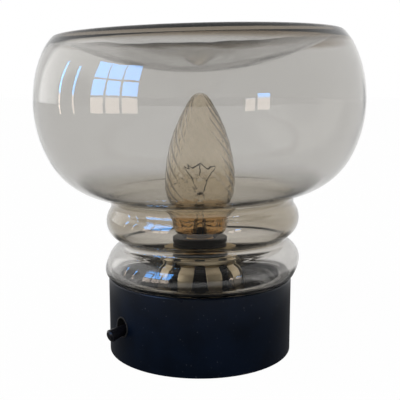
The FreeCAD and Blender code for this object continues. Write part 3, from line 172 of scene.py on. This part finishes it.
def swing_to(bm, last, centre, goal, pitch):
    """An arc of a profile, swung round a centre to a goal in steps of about a pitch."""
    start = Vector((last.co.x / mm, last.co.z / mm)) - centre
    turn = -start.angle_signed(goal - centre)
    steps = max(3, round(abs(turn) * start.length / pitch))
    made = bmesh.ops.spin(bm, geom=[last], cent=(centre.x * mm, 0, centre.y * mm), axis=(0, -1, 0),
                          angle=turn, steps=steps, use_duplicate=False)
    return made["geom_last"][0]


def facing(centre, reach, other):
    """The point at a reach from a centre, towards another point."""
    return centre + (other - centre).normalized() * reach


def polar(centre, reach, degrees):
    """The point at a reach from a centre; 0 degrees is outwards and 90 up."""
    bearing = math.radians(degrees)
    return centre + reach * Vector((math.cos(bearing), math.sin(bearing)))


def outer_meeting(first, first_reach, second, second_reach):
    """Where two circles of a profile meet, away from the lamp's axis."""
    return max(intersect_sphere_sphere_2d(first, first_reach, second, second_reach),
               key=lambda spot: spot.x)


def clamped(share):
    return min(1.0, max(0.0, share))


def face_outwards(bm):
    """Welds a skin and faces it outwards, judged by its widest face."""
    weld = 0.01
    bmesh.ops.remove_doubles(bm, verts=bm.verts[:], dist=weld * mm)
    bmesh.ops.recalc_face_normals(bm, faces=bm.faces[:])
    widest = max(bm.faces, key=lambda face: face.calc_center_median().xy.length)
    if widest.normal.xy.dot(widest.calc_center_median().xy) < 0:
        bmesh.ops.reverse_faces(bm, faces=bm.faces[:])


def turn_full(bm, segments):
    """Turns a profile round the lamp's axis."""
    bmesh.ops.spin(bm, geom=bm.verts[:] + bm.edges[:], cent=(0, 0, 0), axis=(0, 0, 1),
                   angle=math.tau, steps=segments, use_merge=True)
    face_outwards(bm)


def thicken(made, thickness):
    """Gives a skin its wall, on the inside."""
    wall = made.modifiers.new("wall", "SOLIDIFY")
    wall.thickness, wall.offset, wall.use_even_offset = thickness * mm, -1.0, True


# radii of the profile's arcs, and the bearings in degrees where the bowl's arcs meet
WALL, HOLE_RADIUS, FOOT_LEVEL, FOOT_ROUND, COLLAR_ROUND = 1.5, 22.0, 32.0, 3.0, 0.8
RING_LOW, RING_HIGH, UNDER, BELLY, BOWL, SHOULDER, DISH = 10.8, 9.85, 73.0, 34.0, 57.0, 28.0, 138.0
UNDER_END, BELLY_END, BOWL_END = -66.0, -27.5, 24.0
CORNER_REACH, CORNER_DROP, PINCH_LOW, PINCH_HIGH, DISH_LEVEL = 8.6, 3.8, 1.775, 3.6, 137.2
FOLD_OUTSIDE, FOLD_INSIDE = 3.2, 6.0
FOOT_PITCH, COLLAR_PITCH, GLASS_PITCH, RADIUS_STEPS, GLOBE_SEGMENTS = 0.8, 0.5, 1.6, 6, 180
foot, collar = Vector((37.0, 35.0)), Vector((40.8, 37.1))
ring_low, ring_high, bowl = Vector((36.6, 43.9)), Vector((37.15, 65.7)), Vector((21.2, 121.9))
ring_corner = ring_low + Vector((math.sqrt(CORNER_REACH ** 2 - CORNER_DROP ** 2), -CORNER_DROP))
belly = polar(bowl, BOWL - BELLY, BELLY_END)
under = polar(belly, BELLY - UNDER, UNDER_END)
shoulder = polar(bowl, BOWL - SHOULDER, BOWL_END)
dish = Vector((0.0, DISH_LEVEL + DISH))
low_pinch = outer_meeting(ring_low, RING_LOW + PINCH_LOW, ring_high, RING_HIGH + PINCH_LOW)
high_pinch = outer_meeting(ring_high, RING_HIGH + PINCH_HIGH, under, UNDER + PINCH_HIGH)

bm = bmesh.new()
hole_edge = bm.verts.new((HOLE_RADIUS * mm, 0, FOOT_LEVEL * mm))
for inset, fold_round in ((0.0, FOLD_OUTSIDE), (WALL, FOLD_INSIDE)):
    end = run_to(bm, hole_edge, HOLE_RADIUS, FOOT_LEVEL + WALL) if inset else hole_edge
    end = run_to(bm, end, foot.x, FOOT_LEVEL + inset)
    end = swing_to(bm, end, foot, foot + Vector((FOOT_ROUND - inset, 0.0)), FOOT_PITCH)
    end = run_to(bm, end, foot.x + FOOT_ROUND - inset, collar.y)
    end = swing_to(bm, end, collar, collar + Vector((0.0, COLLAR_ROUND + inset)), COLLAR_PITCH)
    end = run_to(bm, end, ring_corner.x, collar.y + COLLAR_ROUND + inset)
    fold = outer_meeting(shoulder, SHOULDER - inset - fold_round, dish, DISH + inset + fold_round)
    for centre, goal in (
            (ring_corner, facing(ring_low, RING_LOW - inset, ring_corner)),
            (ring_low, facing(ring_low, RING_LOW - inset, low_pinch)),
            (low_pinch, facing(ring_high, RING_HIGH - inset, low_pinch)),
            (ring_high, facing(ring_high, RING_HIGH - inset, high_pinch)),
            (high_pinch, facing(under, UNDER - inset, high_pinch)),
            (under, polar(belly, BELLY - inset, UNDER_END)),
            (belly, polar(bowl, BOWL - inset, BELLY_END)),
            (bowl, polar(bowl, BOWL - inset, BOWL_END)),
            (shoulder, facing(shoulder, SHOULDER - inset, fold)),
            (fold, facing(dish, DISH + inset, fold)),
            (dish, Vector((0.0, DISH_LEVEL - inset)))):
        pitch = min((goal - centre).length / RADIUS_STEPS, GLASS_PITCH)
        end = swing_to(bm, end, centre, goal, pitch)
turn_full(bm, GLOBE_SEGMENTS)

# the blown wall isn't quite true: above its foot it stands to the right and leans to the left
BEND_LOW, BEND_HIGH, ASIDE, LEAN = 38.0, 48.0, 2.0, math.radians(1.5)
for vertex in bm.verts:
    above = vertex.co.z / mm - BEND_LOW
    bent = clamped(above / (BEND_HIGH - BEND_LOW))
    bent *= bent * (3.0 - 2.0 * bent)
    across = vertex.co.x
    vertex.co.x += bent * (ASIDE - above * math.tan(LEAN)) * mm
    vertex.co.z += bent * across * math.sin(LEAN)


def clear_glass(name, taken, depth, waves, wave_height, tone=(1, 1, 1, 1), bands=(), dish=None):
    """Wavy glass that takes a share of each colour on the way through it, with a tone.

    Each band is a colour, the level where it starts and the level where it is full. A dish is
    the radius and the level, in millimetres, where the tone has turned clear.
    """
    finish = Finish(bpy.data.materials.new(name))
    field = finish.noise(waves, 2.0)
    shade = finish.node("ShaderNodeVolumeAbsorption", {}, {"Color": taken, "Density": depth})
    finish.close(shade, "Volume")
    level = finish.along("Z", finish.place())
    # painted light: inside the dish the tone fades to clear, so the dish looks lighter than the
    # rest of the globe
    if dish:
        blend = 4.0
        flat = finish.node("ShaderNodeVectorMath", {"operation": "MULTIPLY"},
                           {0: finish.place(), 1: (1, 1, 0)})
        inside = finish.mask(finish.length(flat), dish[0] * mm, (dish[0] - blend) * mm)
        inside *= finish.mask(level, (dish[1] - blend) * mm, dish[1] * mm)
        tone = finish.tint(inside, tone, (1, 1, 1, 1))
    for darker, start_level, full_level in bands:
        tone = finish.tint(finish.mask(level, start_level * mm, full_level * mm), tone, darker)
    return finish.surface(base_color=tone, roughness=0.0, ior=1.5, transmission_weight=1.0,
                          normal=finish.bump(field, wave_height))


# painted shade: the glass is tinted browner from 82 mm down over both rings, and greyer from 58 mm
# down over the lower ring, for the dark inside of the rings
ring_painted_shade_brown, lower_ring_painted_shade_grey = (0.69, 0.65, 0.58, 1), (0.88, 0.875, 0.87, 1)
# painted shade: a dark brown tint on the glass from 148 mm up, along the top fold
fold_painted_shade_brown = (0.42, 0.36, 0.29, 1)
smoke = clear_glass(
    "smoke_glass", taken=(0.40, 0.375, 0.33, 1), depth=200.0, waves=28.0, wave_height=0.00035,
    tone=(0.83, 0.825, 0.815, 1), dish=(66.0, 134.0),
    bands=((ring_painted_shade_brown, 82.0, 76.0), (lower_ring_painted_shade_grey, 58.0, 52.0), (fold_painted_shade_brown, 148.0, 151.0)))
piece(bm, "globe", smoke, "shade", "glass_globe")


# Candle bulb
#
# Fluted candle of thin smoky glass: sixteen convex flutes wind a good half turn round it and
# die out at the heel and the tip. It is cemented into a drawn brass cap; inside, a glass foot
# carries three stiff wires and the filament.
WIDEST_LEVEL, BULB_TOP, HEEL_LEVEL, NECK_END = 82.0, 126.0, 57.3, 54.1
WIDEST_RADIUS, HEEL_RADIUS, HEEL_ROUND, NECK_RADIUS, BULB_WALL = 17.2, 12.9, 3.0, 5.6, 0.8
OGIVE, FLARE, HEEL_BEARING, CONE_STEPS = 74.0, 45.0, -11.0, 6
HEEL_PITCH, BULB_PITCH, NOSE_PITCH = 0.8, 1.2, 0.7
ogive = Vector((WIDEST_RADIUS - OGIVE, WIDEST_LEVEL))
flare = Vector((WIDEST_RADIUS - FLARE, WIDEST_LEVEL))
nose_height = BULB_TOP - WIDEST_LEVEL
nose_round = (OGIVE ** 2 - ogive.x ** 2 - nose_height ** 2) / (2 * (OGIVE - nose_height))
nose = Vector((0.0, BULB_TOP - nose_round))
heel = Vector((HEEL_RADIUS - HEEL_ROUND, HEEL_LEVEL + HEEL_ROUND))

bm = bmesh.new()
end = run_through(bm, (NECK_RADIUS, NECK_END), (NECK_RADIUS, HEEL_LEVEL), (heel.x, HEEL_LEVEL))
end = swing_to(bm, end, heel, polar(heel, HEEL_ROUND, HEEL_BEARING), HEEL_PITCH)
cone_foot = Vector((end.co.x / mm, end.co.z / mm))
cone_top = polar(flare, FLARE, HEEL_BEARING)
for step in range(CONE_STEPS):
    end = run_to(bm, end, *cone_foot.lerp(cone_top, (step + 1) / CONE_STEPS))
end = swing_to(bm, end, flare, Vector((WIDEST_RADIUS, WIDEST_LEVEL)), BULB_PITCH)
end = swing_to(bm, end, ogive, facing(nose, -nose_round, ogive), BULB_PITCH)
swing_to(bm, end, nose, Vector((0.0, BULB_TOP)), NOSE_PITCH)

# each flute bulges between two grooves, which fade out towards the heel and the tip
FLUTES, FLUTE_SEGMENTS, FLUTE_DEPTH, FLUTE_LEAD = 16, 12, 1.0, 112.0
FLUTE_START, FADE_LOW, FADE_HIGH = 2.0, 9.0, 16.0
turn_full(bm, FLUTES * FLUTE_SEGMENTS)
for vertex in bm.verts:
    level = vertex.co.z / mm
    reach = vertex.co.xy.length
    angle = math.atan2(vertex.co.y, vertex.co.x) + math.tau * level / FLUTE_LEAD
    shown = clamped((level - HEEL_LEVEL - FLUTE_START) / FADE_LOW)
    shown *= clamped((BULB_TOP - level) / FADE_HIGH)
    hollow = FLUTE_DEPTH * mm * shown * (1 - abs(math.sin(FLUTES / 2 * angle)))
    if reach > 2 * FLUTE_DEPTH * mm:
        vertex.co.xy *= 1 - hollow / reach
amber = clear_glass(
    "amber_glass", taken=(0.40, 0.28, 0.10, 1), depth=160.0, waves=160.0, wave_height=0.00003,
    tone=(0.99, 0.945, 0.86, 1), bands=(((0.93, 0.75, 0.52, 1), 68.5, 66.5),))
candle = piece(bm, "candle_glass", amber, "bulb", "bulb_glass")
thicken(candle, BULB_WALL)


def metal(name, colour, dull, grain, grain_height, stretch=(1, 1, 1), tarnish=0.25):
    """Bare metal: fine grain in its gloss and a little uneven tarnish."""
    finish = Finish(bpy.data.materials.new(name))
    fine, cloud = finish.noise(grain, 4.0, stretch), finish.noise(grain / 12, 2.0)
    darker = tuple(part * (1 - tarnish) for part in colour[:3]) + (1,)
    return finish.surface(
        base_color=finish.tint(finish.mask(cloud, 0.35, 0.75), colour, darker), metallic=1.0,
        roughness=fine * 0.18 + cloud * 0.12 + dull, normal=finish.bump(fine, grain_height))


def moulded(name, colour, dull, pits, pit_height, gloss=0.5):
    """Moulded plastic, rubber or bead glass: faint cloudiness, fine pits and uneven gloss."""
    finish = Finish(bpy.data.materials.new(name))
    fine, cloud = finish.noise(pits, 4.0), finish.noise(pits / 25, 2.0)
    paler = tuple(min(1.0, part * 1.35 + 0.004) for part in colour[:3]) + (1,)
    return finish.surface(
        base_color=finish.tint(finish.mask(cloud, 0.4, 0.8), colour, paler),
        roughness=fine * 0.12 + cloud * 0.12 + dull, specular_ior_level=gloss,
        normal=finish.bump(fine, pit_height))


def dress(material, *names):
    """Gives solids that keep their own shape their finish."""
    for name in names:
        mesh = nodes[name].data
        mesh.materials.clear()
        mesh.materials.append(material)
        mesh.shade_smooth()


brass = metal("drawn_brass", (0.70, 0.49, 0.22, 1), 0.16, 900.0, 0.00001)
dress(brass, "bulb_cap", "screw_shell", "contact_tongue", "contact_rivet", "holder_terminals",
      "terminal_inserts", "switch_terminals", "contact_rocker")
dark_wire = metal("dark_wire", (0.03, 0.027, 0.027, 1), 0.35, 1200.0, 0.00001)
dress(dark_wire, "bulb_wires", "bulb_filament", "lever_pin", "switch_spring", "switch_nut")
foot_glass = clear_glass("foot_glass", (0.9, 0.9, 0.88, 1), 20.0, 200.0, 0.00002)
dress(foot_glass, "bulb_stem")
solder = metal("dull_solder", (0.42, 0.42, 0.43, 1), 0.4, 700.0, 0.00004)
dress(solder, "bulb_contact")
bead_glass = moulded("black_bead_glass", (0.02, 0.018, 0.022, 1), 0.12, 900.0, 0.00001)
dress(bead_glass, "bulb_insulator")


# Lampholder
#
# Black thermoset in two halves that screw together, the lower one ribbed for the fingers. It
# stands on a threaded nipple that a washer and a nut hold under the base's floor.
bakelite = moulded("black_thermoset", (0.008, 0.007, 0.006, 1), 0.22, 1400.0, 0.000008, 0.15)
dress(bakelite, "holder_base", "holder_shell")
cream = moulded("cream_insulator", (0.62, 0.57, 0.47, 1), 0.45, 1200.0, 0.00002)
dress(cream, "contact_core", "switch_plate", "switch_plunger")
zinc = metal("zinc_plate", (0.56, 0.57, 0.58, 1), 0.22, 800.0, 0.00001, tarnish=0.35)
dress(zinc, "threaded_nipple", "nipple_washer", "nipple_nut", "holder_terminal_screws",
      "bottom_plate", "cover_posts", "cover_screws", "switch_bracket", "terminal_clamp_screws",
      "block_mount_screw")


# Spring crown
#
# Nine leaves stamped in one piece with the ring that the lampholder clamps. They spring out
# against the edge of the glass's hole, and a pressed crease near their feet stiffens them.


def round_bends(bm, round_off, beyond=0.0):
    """Rounds the bends of a profile that lie beyond a distance from its axis."""
    bends = [vertex for vertex in bm.verts
             if len(vertex.link_edges) == 2 and vertex.co.x > beyond * mm]
    bmesh.ops.bevel(bm, geom=bends, offset=round_off * mm, offset_type="OFFSET", segments=3,
                    profile=0.5, affect="VERTICES", material=-1)


LEAVES, LEAF_STEPS, LEAF_TOP, LEAF_FOOT, SHEET = 9, 16, 45.8, 30.3, 0.5
SLOT_TOP, SLOT_FOOT, LEAF_BEND, LONGEST_EDGE = 4.6, 9.2, 0.5, 1.5
bm = bmesh.new()
run_through(bm, (12.7, 47.3), (18.3, 47.3), (18.3, 46.0), (16.9, 44.2), (19.6, 41.2), (20.9, 38.4),
            (21.5, 35.0), (21.65, 32.8), (21.15, 32.1), (21.65, 31.4), (21.65, LEAF_FOOT))
round_bends(bm, LEAF_BEND)
long_edges = [edge for edge in bm.edges if edge.calc_length() > LONGEST_EDGE * mm]
bmesh.ops.subdivide_edges(bm, edges=long_edges, cuts=2)
leaf_turn = math.tau / LEAVES
bmesh.ops.spin(bm, geom=bm.verts[:] + bm.edges[:], cent=(0, 0, 0), axis=(0, 0, 1),
               angle=leaf_turn, steps=LEAF_STEPS)
for vertex in bm.verts:
    level, reach = vertex.co.z / mm, vertex.co.xy.length / mm
    if level < LEAF_TOP:
        share = (LEAF_TOP - level) / (LEAF_TOP - LEAF_FOOT)
        gap = SLOT_TOP + (SLOT_FOOT - SLOT_TOP) * share
        kept = 1 - 2 * math.asin(gap / 2 / reach) / leaf_turn
        angle = math.atan2(vertex.co.y, vertex.co.x)
        angle = leaf_turn / 2 + (angle - leaf_turn / 2) * kept
        vertex.co.xy = Vector((math.cos(angle), math.sin(angle))) * reach * mm
# a slot faces the front, so the first leaf starts there
to_front = Matrix.Rotation(-math.pi / 2, 3, "Z")
bmesh.ops.rotate(bm, verts=bm.verts[:], cent=(0, 0, 0), matrix=to_front)
bmesh.ops.spin(bm, geom=bm.verts[:] + bm.edges[:] + bm.faces[:], cent=(0, 0, 0), axis=(0, 0, 1),
               angle=math.tau * (LEAVES - 1) / LEAVES, steps=LEAVES - 1, use_duplicate=True)
face_outwards(bm)
crown_brass = metal("stamped_brass", (0.95, 0.80, 0.55, 1), 0.28, 500.0, 0.00002, (1, 1, 0.08))
crown = piece(bm, "leaf_crown", crown_brass, "base", "spring_crown")
thicken(crown, SHEET)


# Base
#
# A drawn steel cup in satin blue-black lacquer, its rim rolled over a recessed floor. A soft
# ring on the floor carries the glass; a plate with a felt pad closes the cup from below.
lacquer = Finish(bpy.data.materials.new("blue_black_lacquer"))
orange_peel, cloud = lacquer.noise(1500.0, 3.0), lacquer.noise(60.0, 3.0)
dust = lacquer.mask(lacquer.noise(1100.0, 1.0), 0.75, 0.79)
scuff = lacquer.mask(lacquer.noise(90.0, 4.0, (1, 1, 6)), 0.62, 0.8)
black_blue, paler_blue, dust_grey = (
    (0.0007, 0.0032, 0.0095, 1), (0.0011, 0.0056, 0.017, 1), (0.30, 0.31, 0.33, 1))
deep = lacquer.tint(lacquer.mask(cloud, 0.3, 0.7), black_blue, paler_blue)
base_paint = lacquer.surface(
    base_color=lacquer.tint(dust * 0.25, deep, dust_grey),
    roughness=cloud * 0.12 + dust * 0.2 + scuff * 0.06 + 0.24,
    specular_ior_level=0.16, normal=lacquer.bump(orange_peel, 0.00001))
dress(base_paint, "base_shell")
rubber = moulded("black_rubber", (0.018, 0.018, 0.018, 1), 0.6, 700.0, 0.00003)
dress(rubber, "seat_gasket", "cable_grommet")

felt = Finish(bpy.data.materials.new("pressed_felt"))
fibres, tufts = felt.noise(2500.0, 6.0), felt.noise(250.0, 3.0)
black_felt = felt.surface(
    base_color=felt.tint(fibres, (0.012, 0.012, 0.013, 1), (0.05, 0.05, 0.052, 1)),
    roughness=0.95, sheen_weight=0.4, sheen_roughness=0.6,
    normal=felt.bump(fibres * 0.7 + tufts * 0.6, 0.0003))
dress(black_felt, "felt_pad")


# Switch and wiring
#
# A lever switch on a bracket under the floor: its snout fills the hole in the wall and a
# black bat lever stands out of it. Below, a block takes the supply cord's two conductors.
BEARING, PIVOT_REACH, LEVER_LEVEL, TILT = math.radians(216.0), 38.8, 18.0, math.radians(14.0)
LEVER_LENGTH, LEVER_STEPS, TIP_BEND, TIP_START, BALL, WELD = 13.7, 48, 0.15, 5.0, 2.6, 0.005
bm = bmesh.new()
run_through(bm, (0.0, 0.0), (0.0, 1.8), (11.6, 2.85), (12.8, 3.0), (LEVER_LENGTH, 2.0),
            (LEVER_LENGTH, 0.0))
round_bends(bm, TIP_BEND, TIP_START)
bmesh.ops.spin(bm, geom=bm.verts[:] + bm.edges[:], cent=(0, 0, 0), axis=(1, 0, 0),
               angle=math.tau, steps=LEVER_STEPS, use_merge=True)
bmesh.ops.create_uvsphere(bm, u_segments=40, v_segments=24, radius=BALL * mm)
bmesh.ops.remove_doubles(bm, verts=bm.verts[:], dist=WELD * mm)
bmesh.ops.recalc_face_normals(bm, faces=bm.faces[:])
down = Matrix.Rotation(TILT, 4, "Y")
out = Matrix.Rotation(BEARING, 4, "Z")
pivot = Matrix.Translation(out @ Vector((PIVOT_REACH, 0, LEVER_LEVEL)) * mm)
bmesh.ops.transform(bm, matrix=pivot @ out @ down, verts=bm.verts[:])
lever_black = moulded("lever_black", (0.006, 0.006, 0.009, 1), 0.25, 1500.0, 0.000006, 0.15)
piece(bm, "bat_lever", lever_black, "lever", "switch_lever")

switch_black = moulded("switch_black", (0.015, 0.015, 0.016, 1), 0.4, 900.0, 0.00002)
dress(switch_black, "switch_housing")
polyamide = moulded("natural_polyamide", (0.70, 0.68, 0.62, 1), 0.35, 800.0, 0.00002)
dress(polyamide, "terminal_block")
brown_sleeve = moulded("brown_sleeve", (0.13, 0.055, 0.025, 1), 0.35, 900.0, 0.00001)
dress(brown_sleeve, "lead_live", "lead_switched")
blue_sleeve = moulded("blue_sleeve", (0.03, 0.09, 0.32, 1), 0.35, 900.0, 0.00001)
dress(blue_sleeve, "lead_neutral")


# Studio
#
# A pale floor and a white room, lit by its walls and a large soft light at the front left. A
# window of nine panes, two narrow ones beside it and two small ones at the right show only
# where the lamp's outside mirrors them.


def rays(finish):
    """Which rays look straight at the background, which by way of a mirror, and which light."""
    depth = finish.node("ShaderNodeLightPath", output="Glossy Depth")
    mirrored = finish.sum_of("MINIMUM", depth, 1.0)
    camera_ray, through, glossy = (
        finish.node("ShaderNodeLightPath", output=f"Is {kind} Ray")
        for kind in ("Camera", "Transmission", "Glossy"))
    seen = finish.sum_of("MAXIMUM", finish.sum_of("MAXIMUM", camera_ray, through), glossy)
    return seen * (1.0 - mirrored), seen * mirrored, 1.0 - seen


# mirror images show the walls dim at the front, bright at the back and in a strip at the left
FRONT_DIM, REAR_GAIN, STRIP_GAIN, WALL_LIGHT = 0.12, 0.88, 0.9, 0.45
scene = bpy.context.scene
room = Finish(bpy.data.worlds.new("studio"), "ShaderNodeOutputWorld")
scene.world = room.owner
direction = room.node("ShaderNodeTexCoord", output="Generated")
rearward, rightward = room.along("Y", direction), room.along("X", direction)
straight, mirrored, lighting = rays(room)
strip = room.mask(rightward, -0.65, -0.75) * room.mask(rightward, -0.98, -0.92)
walls = FRONT_DIM + room.mask(rearward, -1.0, 0.4) * REAR_GAIN + strip * STRIP_GAIN
strength = straight + mirrored * walls + lighting * WALL_LIGHT
room.close(room.node("ShaderNodeBackground", {}, {"Color": (1, 1, 1, 1), "Strength": strength}))

# the floor looks white, but its mirror images are dusky close to the lamp
FLOOR_RADIUS, DUSK, DUSK_END, PALE_START, PALE, FLOOR_GLOW = 6.0, 0.12, 0.12, 0.18, 0.9, 0.985
paper = Finish(bpy.data.materials.new("pale_paper"))
matt = paper.node("ShaderNodeBsdfDiffuse", {}, {"Color": (0.86, 0.86, 0.86, 1)})
straight, mirrored, _ = rays(paper)
away = paper.mask(paper.length(paper.place()), DUSK_END, PALE_START)
pale = paper.blend(straight + mirrored * away * PALE,
                   paper.glow((1, 1, 1, 1), DUSK), paper.glow((1, 1, 1, 1), 1.0))
paper.close(paper.blend((straight + mirrored) * FLOOR_GLOW, matt, pale))
bm = bmesh.new()
bmesh.ops.create_circle(bm, cap_ends=True, segments=96, radius=FLOOR_RADIUS)
floor = as_object(bm, "floor", paper.owner)


def facing_lamp(azimuth, elevation, distance):
    """Where something hangs that faces the lamp; azimuth 0 is the camera's side, 90 the right."""
    turn, rise, lamp_middle = math.radians(azimuth), math.radians(elevation), 0.09
    level = math.cos(rise)
    away = Vector((math.sin(turn) * level, -math.cos(turn) * level, math.sin(rise)))
    return (Matrix.Translation(Vector((0, 0, lamp_middle)) + away * distance)
            @ away.to_track_quat("Z", "Y").to_matrix().to_4x4())


# each pane's azimuth and elevation, in degrees, and its width and height
WINDOW_REACH, REACH_BLEND, SKY_STRENGTH, HORIZON_LOW, HORIZON_HIGH = 0.8, 0.02, 17.0, 0.17, 0.21
COLUMN_PITCH, FIRST_COLUMN, ROW_PITCH, FIRST_ROW = 11.5, -66.0, 12.0, 1.0
panes = [(COLUMN_PITCH * column + FIRST_COLUMN, ROW_PITCH * row + FIRST_ROW, 0.135, 0.15)
         for column in range(3) for row in range(3)]
narrow = [(-86.0, 10.0, 0.022, 0.40), (-100.0, 10.0, 0.022, 0.40)]
small = [(31.0, 2.0, 0.08, 0.13), (39.0, 4.0, 0.10, 0.16)]
bm = bmesh.new()
for azimuth, elevation, width, height in panes + narrow + small:
    size = Matrix.Diagonal((width / 2, height / 2, 1, 1))
    bmesh.ops.create_grid(bm, x_segments=1, y_segments=1, size=1.0,
                          matrix=facing_lamp(azimuth, elevation, WINDOW_REACH) @ size)
sky = Finish(bpy.data.materials.new("window_sky"))
level = sky.along("Z", sky.place())
horizon = sky.mask(level, HORIZON_LOW, HORIZON_HIGH)
daylight = sky.tint(horizon, (0.36, 0.31, 0.27, 1), (0.15, 0.44, 1.0, 1))
_, mirrored, _ = rays(sky)
through_glass = sky.node("ShaderNodeLightPath", output="Transmission Depth")
outer = 1.0 - sky.sum_of("MINIMUM", through_glass, 1.0)
ray_length = sky.node("ShaderNodeLightPath", output="Ray Length")
near = sky.mask(ray_length, WINDOW_REACH, WINDOW_REACH - REACH_BLEND)
sky.close(sky.blend(mirrored * outer * near, sky.node("ShaderNodeBsdfTransparent"),
                    sky.glow(daylight, SKY_STRENGTH)))
windows = as_object(bm, "windows", sky.owner)

panel = bpy.data.lights.new("soft_light", "AREA")
panel.shape, panel.size, panel.size_y, panel.energy = "RECTANGLE", 1.2, 1.2, 12.0
soft_light = bpy.data.objects.new("soft_light", panel)
soft_light.location, turned, _ = facing_lamp(-40.0, 50.0, 1.8).decompose()
soft_light.rotation_euler = turned.to_euler()
soft_light.visible_camera = soft_light.visible_glossy = soft_light.visible_transmission = False
scene.collection.objects.link(soft_light)

camera = bpy.data.objects.new("camera", bpy.data.cameras.new("camera"))
camera.data.lens, camera.data.sensor_width = 65.0, 36.0
camera.location = (0.0, -0.350, 0.1311)
LEVEL_VIEW, LOOK_DOWN = 90.0, 9.29
camera.rotation_euler = (math.radians(LEVEL_VIEW - LOOK_DOWN), 0, 0)
camera.data.clip_start = 0.01
scene.collection.objects.link(camera)
scene.camera = camera
scene.view_settings.view_transform = "Standard"
